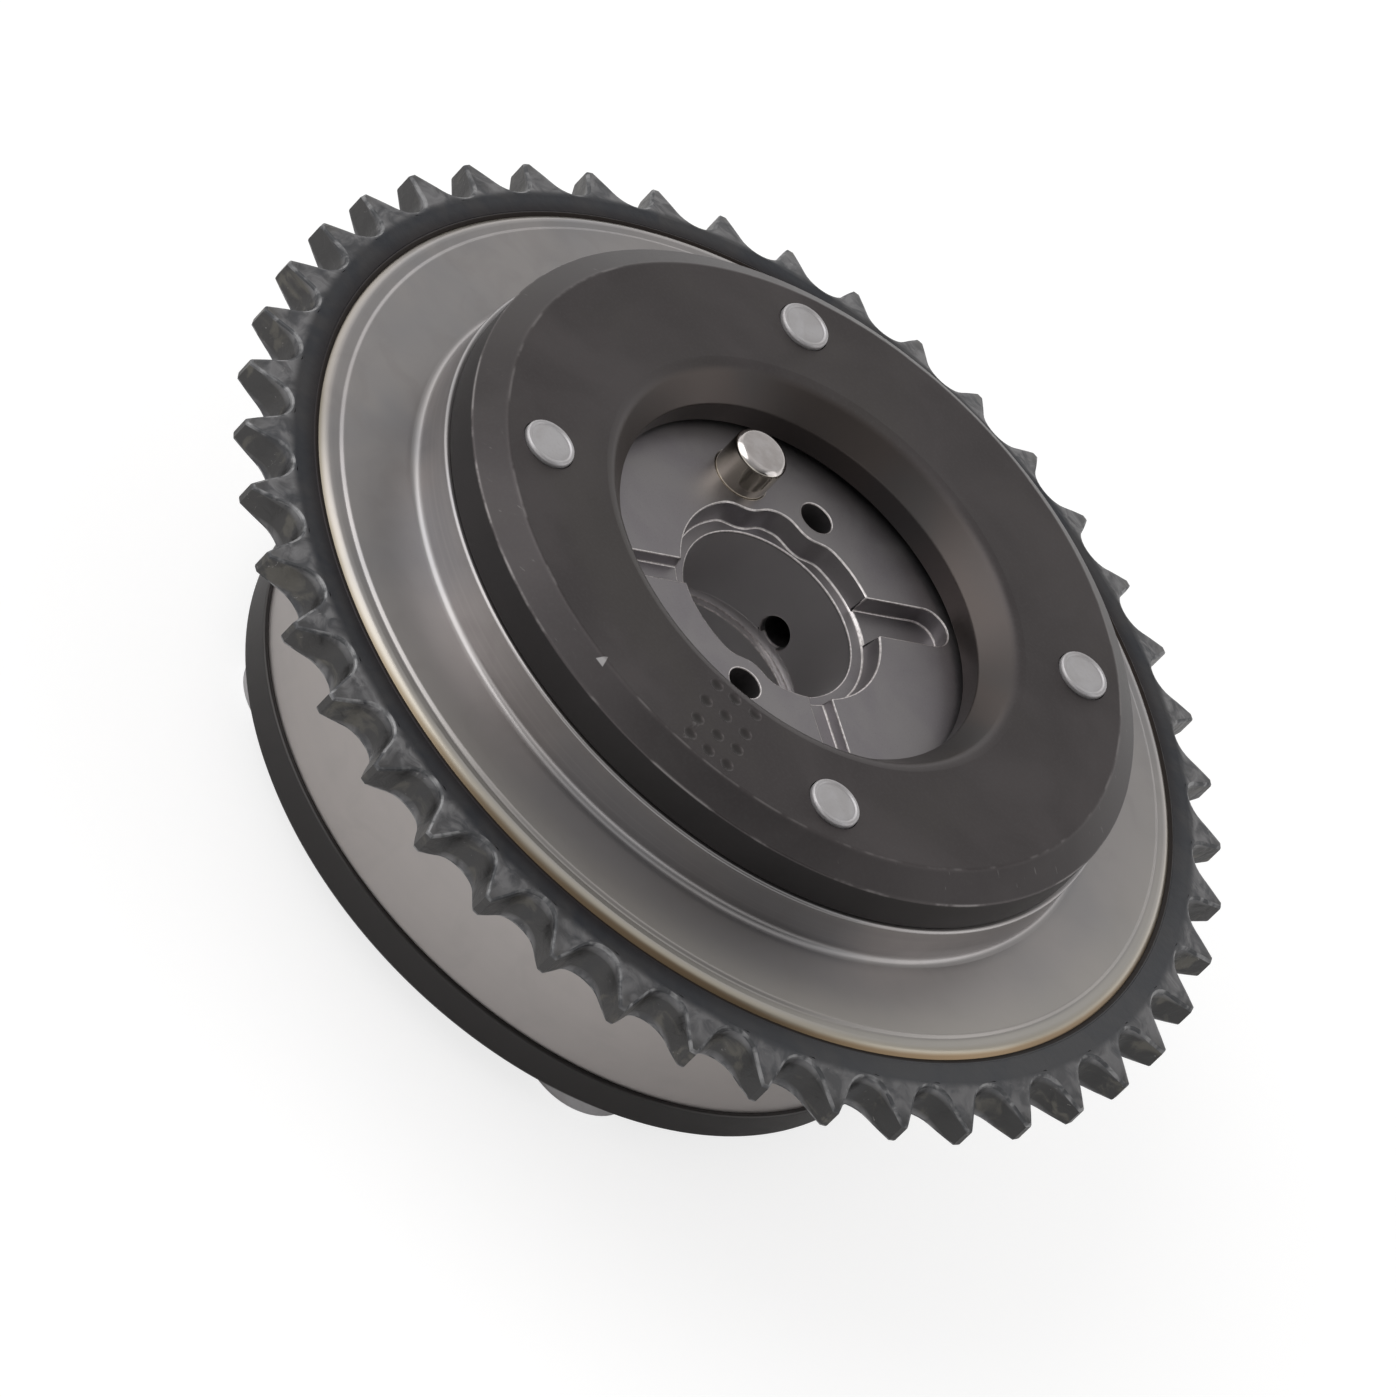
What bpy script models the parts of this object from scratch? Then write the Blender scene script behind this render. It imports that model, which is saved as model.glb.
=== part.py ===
"""Cam phaser: a vane type camshaft adjuster with a chain sprocket.

Units are metres. +Z is the shaft axis and points to the camshaft side, and the origin lies on
the axis, in the plane of the rear rivet heads on which the phaser stands.
Angles are in degrees, counted from +X towards +Y, seen from the camshaft side.
"""
import math

import bmesh
import bpy
from mathutils import Matrix, Vector

MM = 0.001

# Clearances
SEAT_GAP = 0.3 * MM
RUNNING_GAP = 0.3 * MM
STOP_GAP = 0.35 * MM
PIN_SEAT_GAP = 0.2 * MM
CUT_OVERRUN = 1.0 * MM

# Chain sprocket ring
CHAIN_PITCH = 8.0 * MM
CHAIN_ROLLER_RADIUS = 2.5 * MM
ROLLER_PLAY = 0.03 * MM
TOOTH_ADDENDUM = 1.83 * MM
TOOTH_SEAT_ANGLE = 130.0
TOOTH_FLANK_RADIUS = 30.0 * MM
TOOTH_TIP_WIDTH = 2.6 * MM
SPROCKET_WIDTH = 5.0 * MM
SPROCKET_BEVEL_INSET = 0.5 * MM
SPROCKET_ROOT_WALL = 2.6 * MM
FIRST_TOOTH_ANGLE = 3.64

# Housing: drum, flange and nose in one piece
DRUM_WALL = 3.9 * MM
DRUM_EDGE = 0.3 * MM
HOUSING_LENGTH = 31.4 * MM
NOSE_STEP = 0.3 * MM
NOSE_HEIGHT = 4.6 * MM
NOSE_EDGE = 0.4 * MM
NOSE_FILLET = 0.8 * MM
FLANGE_WIDTH = 10.9 * MM
FLANGE_THICKNESS = 5.7 * MM
FLANGE_REAR_FILLET = 1.5 * MM
FLANGE_STEP_WIDTH = 2.1 * MM
FLANGE_STEP_DEPTH = 0.3 * MM
FLANGE_BEVEL_WIDTH = 0.9 * MM
FLANGE_BEVEL_DEPTH = 0.86 * MM
SPROCKET_SET_BACK = 0.9 * MM

# Oil chambers and webs of the housing
CHAMBERS = 4
CHAMBER_FILLET = 1.6 * MM
TURN_RANGE = 28.0

# Covers
REAR_COVER_THICKNESS = 4.1 * MM
REAR_COVER_OVERHANG = 0.5 * MM
REAR_COVER_EDGE = 0.7 * MM
REAR_COVER_HOLE_ROOM = 1.5 * MM
REAR_COVER_HOLE_EDGE = 0.5 * MM
COVER_THICKNESS = 5.8 * MM
COVER_SET_IN = 0.5 * MM
COVER_CHAMFER_WIDTH = 3.0 * MM
COVER_CHAMFER_DEPTH = 1.9 * MM
COVER_HOLE_ROOM = 2.9 * MM
COVER_LAP = 1.3 * MM
COVER_MOUTH_WIDTH = 2.7 * MM
COVER_MOUTH_DEPTH = 3.1 * MM

# Through rivets
RIVET_WALL = 1.75 * MM
RIVET_RADIUS = 2.75 * MM
RIVET_END_PROUD = 0.55 * MM
RIVET_END_EDGE = 0.3 * MM
RIVET_HEAD_RADIUS = 6.7 * MM
RIVET_HEAD_HEIGHT = 2.5 * MM
RIVET_HEAD_EDGE = 0.6 * MM

# Rotor
VANE_HEIGHT = 13.0 * MM
VANE_HALF_ANGLE = 11.5
VANE_TIP_CHAMFER = 1.3 * MM
VANE_WALL_GAP = 0.5 * MM
BORE_RADIUS = 9.9 * MM
BORE_EDGE = 0.5 * MM
BOLT_SEAT_WIDTH = 4.6 * MM
BOLT_SEAT_DEPTH = 0.8 * MM
BORE_GROOVE_DEPTH = 0.8 * MM
BORE_GROOVE_WIDTH = 1.6 * MM
BORE_GROOVE_BELOW_FEED = 1.4 * MM
FEED_HOLE_RADIUS = 1.75 * MM
FEED_HOLE_FROM_FACE = 10.5 * MM
FEED_HOLE_ANGLE = 90.8
RECESS_WIDTH = 2.1 * MM
RECESS_DEPTH = 2.4 * MM
RECESS_TAPER = 0.7 * MM
OIL_HOLE_SET_OUT = 2.2 * MM
OIL_HOLE_RADIUS = 1.8 * MM
OIL_HOLE_DEPTH = 13.0 * MM
OIL_HOLE_EDGE = 0.25 * MM
OIL_HOLE_WALL = 1.45 * MM
OIL_HOLE_ANGLES = (114.5, 294.5)
BLIND_SLOT_ANGLE = 60.5
BLIND_SLOT_HALF_WIDTH = 2.27 * MM
BLIND_SLOT_END_WALL = 1.6 * MM
BLIND_SLOT_DEPTH = 2.1 * MM
FACE_GROOVE_HALF_WIDTH = 1.5 * MM
FACE_GROOVE_DEPTH = 1.4 * MM
FACE_GROOVES = ((-29.5, 0.9 * MM), (240.5, -1.45 * MM))

# Dowel pin
DOWEL_RADIUS = 3.0 * MM
DOWEL_SET_OUT = 3.3 * MM
DOWEL_ANGLE = 150.3
DOWEL_PROUD = 4.2 * MM
DOWEL_SUNK = 13.0 * MM
DOWEL_EDGE = 0.55 * MM
DOWEL_WALL = 1.0 * MM

# Seals in the vane tips and web tips, with their leaf springs
SEAL_THICKNESS = 2.0 * MM
VANE_SEAL_HEIGHT = 2.4 * MM
WEB_SEAL_HEIGHT = 2.4 * MM
SEAL_PROUD = 0.2 * MM
LEAF_ROOM = 1.6 * MM
LEAF_THICKNESS = 0.25 * MM
LEAF_WIDTH = 1.6 * MM
LEAF_END_MARGIN = 2.5 * MM

# Lock pin, its spring, spring seat and bush
LOCK_BORE_WALL = 1.0 * MM
LOCK_BORE_RADIUS = 3.4 * MM
LOCK_PIN_LENGTH = 15.0 * MM
LOCK_PIN_SHOULDER = 0.7 * MM
LOCK_PIN_NOSE_LENGTH = 3.2 * MM
LOCK_PIN_WALL = 1.0 * MM
LOCK_PIN_FLOOR = 4.5 * MM
LOCK_PIN_EDGE = 0.3 * MM
LOCK_PIN_LIFT = 0.4 * MM
LOCK_SEAT_THICKNESS = 3.0 * MM
LOCK_SEAT_SPIGOT_HEIGHT = 1.5 * MM
LOCK_SEAT_SPIGOT_PLAY = 0.45 * MM
LOCK_SPRING_TURNS = 6.0
LOCK_SPRING_WIRE_RADIUS = 0.25 * MM
LOCK_SPRING_PLAY = 0.25 * MM
LOCK_BUSH_RADIUS = 4.4 * MM
LOCK_BUSH_FLOOR = 1.0 * MM
LOCK_BUSH_PLAY = 0.5 * MM
LOCK_BUSH_EDGE = 0.3 * MM

# Fineness of the round shapes
RIM_STEPS = 64
BORE_STEPS = 48
HOLE_STEPS = 20
SMALL_HOLE_STEPS = 16
ARC_STEP = 4.0
SPRING_STEPS_PER_TURN = 12
TOOTH_SEAT_STEPS = 4
RECESS_STEPS = 80
LEAF_STEPS = 6
FILLET_STEPS = 2
WELD_DISTANCE = 0.001 * MM

# Radii that follow from the sizes above, from the bore outwards
RECESS_RADIUS = BORE_RADIUS + RECESS_WIDTH
OIL_HOLE_CIRCLE_RADIUS = RECESS_RADIUS + OIL_HOLE_SET_OUT
DOWEL_CIRCLE_RADIUS = RECESS_RADIUS + DOWEL_SET_OUT
COVER_HOLE_RADIUS = DOWEL_CIRCLE_RADIUS + DOWEL_RADIUS + COVER_HOLE_ROOM
HUB_RADIUS = COVER_HOLE_RADIUS + COVER_LAP
BLIND_SLOT_REACH = HUB_RADIUS - BLIND_SLOT_END_WALL
BOLT_SEAT_RADIUS = BORE_RADIUS + BOLT_SEAT_WIDTH
REAR_COVER_HOLE_RADIUS = BOLT_SEAT_RADIUS + REAR_COVER_HOLE_ROOM
CHAMBER_RADIUS = HUB_RADIUS + VANE_HEIGHT
DRUM_RADIUS = CHAMBER_RADIUS + DRUM_WALL
REAR_COVER_RADIUS = DRUM_RADIUS + REAR_COVER_OVERHANG
NOSE_RADIUS = DRUM_RADIUS + NOSE_STEP
COVER_RADIUS = NOSE_RADIUS - COVER_SET_IN
FLANGE_RADIUS = NOSE_RADIUS + FLANGE_WIDTH
SPROCKET_BORE_RADIUS = FLANGE_RADIUS + SEAT_GAP

# The fewest teeth that leave enough wall between their roots and the bore
SMALLEST_PITCH_RADIUS = SPROCKET_BORE_RADIUS + SPROCKET_ROOT_WALL + CHAIN_ROLLER_RADIUS
TEETH = math.ceil(math.pi / math.asin(CHAIN_PITCH / 2 / SMALLEST_PITCH_RADIUS))

# Angles and heights that follow
SECTOR = 360.0 / CHAMBERS
WEB_ANGLES = [SECTOR / 2 + SECTOR * index for index in range(CHAMBERS)]
STOP_GAP_ANGLE = math.degrees(STOP_GAP / HUB_RADIUS)
CHAMBER_HALF_ANGLE = VANE_HALF_ANGLE + TURN_RANGE / 2 + STOP_GAP_ANGLE
VANE_ANGLES = [SECTOR * index - TURN_RANGE / 2 for index in range(CHAMBERS)]

REAR_COVER_Z = RIVET_HEAD_HEIGHT + SEAT_GAP
REAR_COVER_TOP_Z = REAR_COVER_Z + REAR_COVER_THICKNESS
HOUSING_Z = REAR_COVER_TOP_Z + SEAT_GAP
HOUSING_TOP_Z = HOUSING_Z + HOUSING_LENGTH
COVER_Z = HOUSING_TOP_Z + SEAT_GAP
COVER_TOP_Z = COVER_Z + COVER_THICKNESS
RIVET_TOP_Z = COVER_TOP_Z + RIVET_END_PROUD
ROTOR_Z = HOUSING_Z + RUNNING_GAP
ROTOR_TOP_Z = HOUSING_TOP_Z - RUNNING_GAP
ROTOR_LENGTH = ROTOR_TOP_Z - ROTOR_Z

FLANGE_FACE_Z = HOUSING_TOP_Z - NOSE_HEIGHT
SPROCKET_TOP_Z = FLANGE_FACE_Z - SPROCKET_SET_BACK
SPROCKET_Z = SPROCKET_TOP_Z - SPROCKET_WIDTH

WEB_TIP_RADIUS = HUB_RADIUS + RUNNING_GAP + SEAL_PROUD
VANE_TIP_RADIUS = CHAMBER_RADIUS - VANE_WALL_GAP
VANE_SLOT_FLOOR = VANE_TIP_RADIUS + SEAL_PROUD - VANE_SEAL_HEIGHT - LEAF_ROOM
WEB_SLOT_FLOOR = WEB_TIP_RADIUS - SEAL_PROUD + WEB_SEAL_HEIGHT + LEAF_ROOM
SEAL_SLOT_HALF_WIDTH = SEAL_THICKNESS / 2 + SEAT_GAP
RIVET_HOLE_RADIUS = RIVET_RADIUS + SEAT_GAP
RIVET_CIRCLE_RADIUS = WEB_SLOT_FLOOR + RIVET_WALL + RIVET_HOLE_RADIUS
LOCK_CIRCLE_RADIUS = VANE_SLOT_FLOOR - LOCK_BORE_WALL - LOCK_BORE_RADIUS
LOCK_PIN_RADIUS = LOCK_BORE_RADIUS - RUNNING_GAP
LOCK_PIN_NOSE_RADIUS = LOCK_PIN_RADIUS - LOCK_PIN_SHOULDER
LOCK_COIL_RADIUS = LOCK_PIN_RADIUS - LOCK_PIN_WALL - LOCK_SPRING_PLAY - LOCK_SPRING_WIRE_RADIUS
LOCK_SEAT_SPIGOT_RADIUS = LOCK_COIL_RADIUS - LOCK_SPRING_WIRE_RADIUS - LOCK_SEAT_SPIGOT_PLAY
LOCK_BUSH_HEIGHT = REAR_COVER_THICKNESS - SEAT_GAP - LOCK_BUSH_FLOOR


def finish(name, colour, roughness, metallic):
    """A plain surface finish."""
    material = bpy.data.materials.new(name)
    material.use_nodes = True
    shader = material.node_tree.nodes["Principled BSDF"]
    shader.inputs["Base Color"].default_value = (*colour, 1.0)
    shader.inputs["Roughness"].default_value = roughness
    shader.inputs["Metallic"].default_value = metallic
    material.diffuse_color = (*colour, 1.0)
    return material


def polar(radius, degrees, z=0.0):
    """A point given by its distance from the axis, its angle and its height."""
    angle = math.radians(degrees)
    return Vector((radius * math.cos(angle), radius * math.sin(angle), z))


def arc(radius, start, end, step=ARC_STEP):
    """Points along an arc about the axis, both ends included."""
    count = max(1, math.ceil(abs(end - start) / step - 1e-6))
    return [polar(radius, start + (end - start) * index / count) for index in range(count + 1)]


def moved_along(point, degrees, distance):
    """A point shifted sideways to a direction, to its left where the distance is positive."""
    angle = math.radians(degrees + 90.0)
    return point + distance * Vector((math.cos(angle), math.sin(angle), 0.0))


def spin_profile(bm, profile, steps, closed):
    """Turn a profile of (radius, height) points about the Z axis.

    A closed profile is a ring's section. An open one starts and ends on the axis.
    """
    verts = [bm.verts.new((radius, 0.0, z)) for radius, z in profile]
    pairs = list(zip(verts, verts[1:]))
    if closed:
        pairs.append((verts[-1], verts[0]))
    edges = [bm.edges.new(pair) for pair in pairs]
    bmesh.ops.spin(bm, geom=verts + edges, cent=(0, 0, 0), axis=(0, 0, 1),
                   angle=math.tau, steps=steps, use_duplicate=False)


def extrude_outline(bm, outline, bottom, top):
    """Extrude a flat outline from one height to another."""
    face = bm.faces.new([bm.verts.new((point.x, point.y, bottom)) for point in outline])
    grown = bmesh.ops.extrude_face_region(bm, geom=[face])
    verts = [item for item in grown["geom"] if isinstance(item, bmesh.types.BMVert)]
    bmesh.ops.translate(bm, verts=verts, vec=(0, 0, top - bottom))


def bridge_rings(bm, rings, closed):
    """Join rings with equal numbers of points into a skin, the last to the first if closed."""
    loops = [[bm.verts.new(point) for point in ring] for ring in rings]
    pairs = list(zip(loops, loops[1:]))
    if closed:
        pairs.append((loops[-1], loops[0]))
    else:
        bm.faces.new(loops[0])
        bm.faces.new(loops[-1])
    for lower, upper in pairs:
        for index in range(len(lower)):
            after = (index + 1) % len(lower)
            bm.faces.new((lower[index], lower[after], upper[after], upper[index]))


def add_rod(bm, centre, radius, bottom, top, steps):
    """A plain upright rod, used to drill holes."""
    outline = [centre + polar(radius, 360.0 * index / steps) for index in range(steps)]
    extrude_outline(bm, outline, bottom, top)


def add_mesh_object(name, bm):
    """Clean the shape, point its faces outwards and put it into the scene."""
    bmesh.ops.remove_doubles(bm, verts=bm.verts[:], dist=WELD_DISTANCE)
    bmesh.ops.recalc_face_normals(bm, faces=bm.faces[:])
    mesh = bpy.data.meshes.new(name)
    bm.to_mesh(mesh)
    bm.free()
    return link_object(name, mesh)


def link_object(name, data):
    """Put an object that shows the given data into the scene."""
    item = bpy.data.objects.new(name, data)
    bpy.context.collection.objects.link(item)
    return item


def add_piece(name, bm, material, parent):
    """A real piece of the phaser, shaded smooth apart from its edges."""
    item = add_mesh_object(name, bm)
    item.data.materials.append(material)
    item.data.shade_smooth()
    item.data.set_sharp_from_angle(angle=math.radians(30.0))
    item.parent = parent
    return item


def add_copy(name, source, parent, location, degrees):
    """A further piece of the same shape at its own place and angle."""
    item = link_object(name, source.data)
    item.parent = parent
    item.location = location
    item.rotation_euler = (0.0, 0.0, math.radians(degrees))
    return item


def cut(piece, bm, name):
    """Take a shape out of a piece."""
    cutter = add_mesh_object(name, bm)
    cutter.hide_render = True
    cutter.display_type = "WIRE"
    modifier = piece.modifiers.new(name, "BOOLEAN")
    modifier.operation = "DIFFERENCE"
    modifier.solver = "EXACT"
    modifier.object = cutter


def cut_rivet_holes(piece, bottom, top):
    """The holes for the through rivets in one of the plates or in the housing."""
    bm = bmesh.new()
    for angle in WEB_ANGLES:
        centre = polar(RIVET_CIRCLE_RADIUS, angle)
        add_rod(bm, centre, RIVET_HOLE_RADIUS, bottom - CUT_OVERRUN, top + CUT_OVERRUN, HOLE_STEPS)
    cut(piece, bm, piece.name + "_rivet_holes")


def tooth_gap_points():
    """Outline of one tooth gap about +X, from the tip before it to the tip after it.

    The chain roller lies in a round seat, and each side goes on as a long convex flank
    that touches the seat and ends at the tip circle.
    """
    pitch_radius = CHAIN_PITCH / 2 / math.sin(math.pi / TEETH)
    tip_radius = pitch_radius + TOOTH_ADDENDUM
    seat_radius = CHAIN_ROLLER_RADIUS + ROLLER_PLAY
    roller = Vector((pitch_radius, 0.0, 0.0))
    half_seat = math.radians(TOOTH_SEAT_ANGLE / 2)
    seat = []
    for index in range(TOOTH_SEAT_STEPS + 1):
        turn = -half_seat + 2 * half_seat * index / TOOTH_SEAT_STEPS
        seat.append(roller + seat_radius * Vector((-math.cos(turn), math.sin(turn), 0.0)))
    outward = Vector((-math.cos(half_seat), math.sin(half_seat), 0.0))
    flank_centre = roller + (seat_radius + TOOTH_FLANK_RADIUS) * outward
    start_angle = math.atan2(-outward.y, -outward.x)
    centre_angle = math.atan2(flank_centre.y, flank_centre.x)
    reach = flank_centre.length
    cosine = (reach ** 2 + TOOTH_FLANK_RADIUS ** 2 - tip_radius ** 2) / (2 * reach * TOOTH_FLANK_RADIUS)
    end_angle = centre_angle - math.pi + math.acos(cosine)
    flank = []
    for share in (0.5, 1.0):
        turn = start_angle + (end_angle - start_angle) * share
        flank.append(flank_centre + TOOTH_FLANK_RADIUS * Vector((math.cos(turn), math.sin(turn), 0.0)))
    mirrored = [Vector((point.x, -point.y, 0.0)) for point in reversed(flank)]
    return mirrored + seat + flank, tip_radius


def make_sprocket_ring(material, parent):
    """Toothed ring: the tooth outline bridged to the bore, with a bevel on both sides."""
    gap, tip_radius = tooth_gap_points()
    gap_angle = 360.0 / TEETH
    first_gap = FIRST_TOOTH_ANGLE + gap_angle / 2
    outline = []
    for tooth in range(TEETH):
        turn = math.radians(first_gap + gap_angle * tooth)
        for point in gap:
            outline.append((point.length, math.atan2(point.y, point.x) + turn))
    root_radius = min(radius for radius, angle in outline)
    bevel_start = root_radius - SPROCKET_BEVEL_INSET
    bevel_slope = (SPROCKET_WIDTH - TOOTH_TIP_WIDTH) / 2 / (tip_radius - bevel_start)

    def ring(radius_at, height_at):
        points = []
        for radius, angle in outline:
            distance = radius_at(radius)
            points.append(Vector((distance * math.cos(angle), distance * math.sin(angle), height_at(radius))))
        return points

    def sunk(radius):
        return (radius - bevel_start) * bevel_slope

    rings = [
        ring(lambda radius: SPROCKET_BORE_RADIUS, lambda radius: SPROCKET_Z),
        ring(lambda radius: bevel_start, lambda radius: SPROCKET_Z),
        ring(lambda radius: radius, lambda radius: SPROCKET_Z + sunk(radius)),
        ring(lambda radius: radius, lambda radius: SPROCKET_TOP_Z - sunk(radius)),
        ring(lambda radius: bevel_start, lambda radius: SPROCKET_TOP_Z),
        ring(lambda radius: SPROCKET_BORE_RADIUS, lambda radius: SPROCKET_TOP_Z),
    ]
    bm = bmesh.new()
    bridge_rings(bm, rings, closed=True)
    return add_piece("sprocket_ring", bm, material, parent)


def housing_profile():
    """Outside of the housing from its rear face on the axis to its front face on the axis."""
    flange_rear = FLANGE_FACE_Z - FLANGE_THICKNESS
    rear_fillet = []
    nose_fillet = []
    for step in range(FILLET_STEPS, -1, -1):
        angle = math.pi / 2 * step / FILLET_STEPS
        rear_fillet.append((DRUM_RADIUS + FLANGE_REAR_FILLET * (1 - math.sin(angle)),
                            flange_rear - FLANGE_REAR_FILLET * (1 - math.cos(angle))))
        nose_fillet.append((NOSE_RADIUS + NOSE_FILLET * (1 - math.sin(angle)),
                            FLANGE_FACE_Z + NOSE_FILLET * (1 - math.cos(angle))))
    bevel_radius = FLANGE_RADIUS - FLANGE_BEVEL_WIDTH
    step_radius = FLANGE_RADIUS - FLANGE_STEP_WIDTH
    step_z = FLANGE_FACE_Z - FLANGE_STEP_DEPTH
    outside = [
        (DRUM_RADIUS - DRUM_EDGE, HOUSING_Z),
        (DRUM_RADIUS, HOUSING_Z + DRUM_EDGE),
    ]
    outside += [(radius, z) for radius, z in rear_fillet]
    outside += [
        (FLANGE_RADIUS, flange_rear),
        (FLANGE_RADIUS, step_z - FLANGE_BEVEL_DEPTH),
        (bevel_radius, step_z),
        (step_radius, step_z),
        (step_radius - FLANGE_STEP_DEPTH, FLANGE_FACE_Z),
    ]
    outside += list(reversed(nose_fillet))
    outside += [
        (NOSE_RADIUS, HOUSING_TOP_Z - NOSE_EDGE),
        (NOSE_RADIUS - NOSE_EDGE, HOUSING_TOP_Z),
    ]
    return [(0.0, HOUSING_Z)] + outside + [(0.0, HOUSING_TOP_Z)]


def cavity_outline():
    """The hollow of the housing: four chambers, the hub's room and the seal slots of the webs."""
    web_half_angle = SECTOR / 2 - CHAMBER_HALF_ANGLE
    fillet_centre = CHAMBER_RADIUS - CHAMBER_FILLET
    fillet_turn = math.degrees(math.asin(CHAMBER_FILLET / fillet_centre))
    outline = []
    for web in WEB_ANGLES:
        side = web + web_half_angle
        next_side = web + SECTOR - web_half_angle
        slot_turn = math.degrees(math.asin(SEAL_SLOT_HALF_WIDTH / WEB_TIP_RADIUS))
        outline += arc(WEB_TIP_RADIUS, web - web_half_angle, web - slot_turn)
        outline.append(moved_along(polar(WEB_SLOT_FLOOR, web), web, -SEAL_SLOT_HALF_WIDTH))
        outline.append(moved_along(polar(WEB_SLOT_FLOOR, web), web, SEAL_SLOT_HALF_WIDTH))
        outline += arc(WEB_TIP_RADIUS, web + slot_turn, side)
        outline += corner(polar(fillet_centre, side + fillet_turn), side - 90.0, side + fillet_turn)
        outline += arc(CHAMBER_RADIUS, side + fillet_turn, next_side - fillet_turn)[1:-1]
        outline += corner(polar(fillet_centre, next_side - fillet_turn), next_side - fillet_turn,
                          next_side + 90.0)
    return outline


def corner(centre, start, end):
    """The rounded corner of a chamber."""
    return [centre + point for point in arc(CHAMBER_FILLET, start, end, step=30.0)]


def make_stator_housing(material, parent):
    """Drum, flange and nose turned in one, with the chambers broached through.

    It is turned on by half a step, so that no edge of its flat ends meets a corner of a chamber.
    """
    bm = bmesh.new()
    spin_profile(bm, housing_profile(), RIM_STEPS, closed=False)
    bmesh.ops.rotate(bm, verts=bm.verts[:], matrix=Matrix.Rotation(math.pi / RIM_STEPS, 3, "Z"))
    housing = add_piece("stator_housing", bm, material, parent)
    bm = bmesh.new()
    extrude_outline(bm, cavity_outline(), HOUSING_Z - CUT_OVERRUN, HOUSING_TOP_Z + CUT_OVERRUN)
    cut(housing, bm, "chambers")
    cut_rivet_holes(housing, HOUSING_Z, HOUSING_TOP_Z)
    return housing


def make_camshaft_side_cover(material, parent):
    """Front plate: bevelled rim, and a mouth that opens in a cone."""
    profile = [
        (COVER_HOLE_RADIUS, COVER_Z),
        (COVER_RADIUS, COVER_Z),
        (COVER_RADIUS, COVER_TOP_Z - COVER_CHAMFER_DEPTH),
        (COVER_RADIUS - COVER_CHAMFER_WIDTH, COVER_TOP_Z),
        (COVER_HOLE_RADIUS + COVER_MOUTH_WIDTH, COVER_TOP_Z),
        (COVER_HOLE_RADIUS, COVER_TOP_Z - COVER_MOUTH_DEPTH),
    ]
    bm = bmesh.new()
    spin_profile(bm, profile, RIM_STEPS, closed=True)
    cover = add_piece("camshaft_side_cover", bm, material, parent)
    cut_rivet_holes(cover, COVER_Z, COVER_TOP_Z)
    return cover


def make_rear_cover(material, parent):
    """Rear plate with the opening for the centre bolt and the pocket for the lock bush."""
    profile = [
        (REAR_COVER_HOLE_RADIUS + REAR_COVER_HOLE_EDGE, REAR_COVER_Z),
        (REAR_COVER_RADIUS - REAR_COVER_EDGE, REAR_COVER_Z),
        (REAR_COVER_RADIUS, REAR_COVER_Z + REAR_COVER_EDGE),
        (REAR_COVER_RADIUS, REAR_COVER_TOP_Z),
        (REAR_COVER_HOLE_RADIUS, REAR_COVER_TOP_Z),
        (REAR_COVER_HOLE_RADIUS, REAR_COVER_Z + REAR_COVER_HOLE_EDGE),
    ]
    bm = bmesh.new()
    spin_profile(bm, profile, RIM_STEPS, closed=True)
    cover = add_piece("rear_cover", bm, material, parent)
    cut_rivet_holes(cover, REAR_COVER_Z, REAR_COVER_TOP_Z)
    bm = bmesh.new()
    pocket_floor = REAR_COVER_TOP_Z - LOCK_BUSH_HEIGHT - SEAT_GAP
    add_rod(bm, polar(LOCK_CIRCLE_RADIUS, VANE_ANGLES[0]), LOCK_BUSH_RADIUS + SEAT_GAP,
            pocket_floor, REAR_COVER_TOP_Z + CUT_OVERRUN, HOLE_STEPS)
    cut(cover, bm, "bush_pocket")
    return cover


def make_rivets(material, parent):
    """Four through rivets: round rear head, plain shank and a bevelled front end."""
    profile = [
        (0.0, 0.0),
        (RIVET_HEAD_RADIUS - RIVET_HEAD_EDGE, 0.0),
        (RIVET_HEAD_RADIUS, RIVET_HEAD_EDGE),
        (RIVET_HEAD_RADIUS, RIVET_HEAD_HEIGHT - RIVET_HEAD_EDGE / 2),
        (RIVET_HEAD_RADIUS - RIVET_HEAD_EDGE / 2, RIVET_HEAD_HEIGHT),
        (RIVET_RADIUS, RIVET_HEAD_HEIGHT),
        (RIVET_RADIUS, RIVET_TOP_Z - RIVET_END_EDGE),
        (RIVET_RADIUS - RIVET_END_EDGE, RIVET_TOP_Z),
        (0.0, RIVET_TOP_Z),
    ]
    bm = bmesh.new()
    spin_profile(bm, profile, HOLE_STEPS, closed=False)
    first = add_piece("rivet_1", bm, material, parent)
    first.location = polar(RIVET_CIRCLE_RADIUS, WEB_ANGLES[0])
    for index, angle in enumerate(WEB_ANGLES[1:], start=2):
        add_copy(f"rivet_{index}", first, parent, polar(RIVET_CIRCLE_RADIUS, angle), 0.0)


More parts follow.
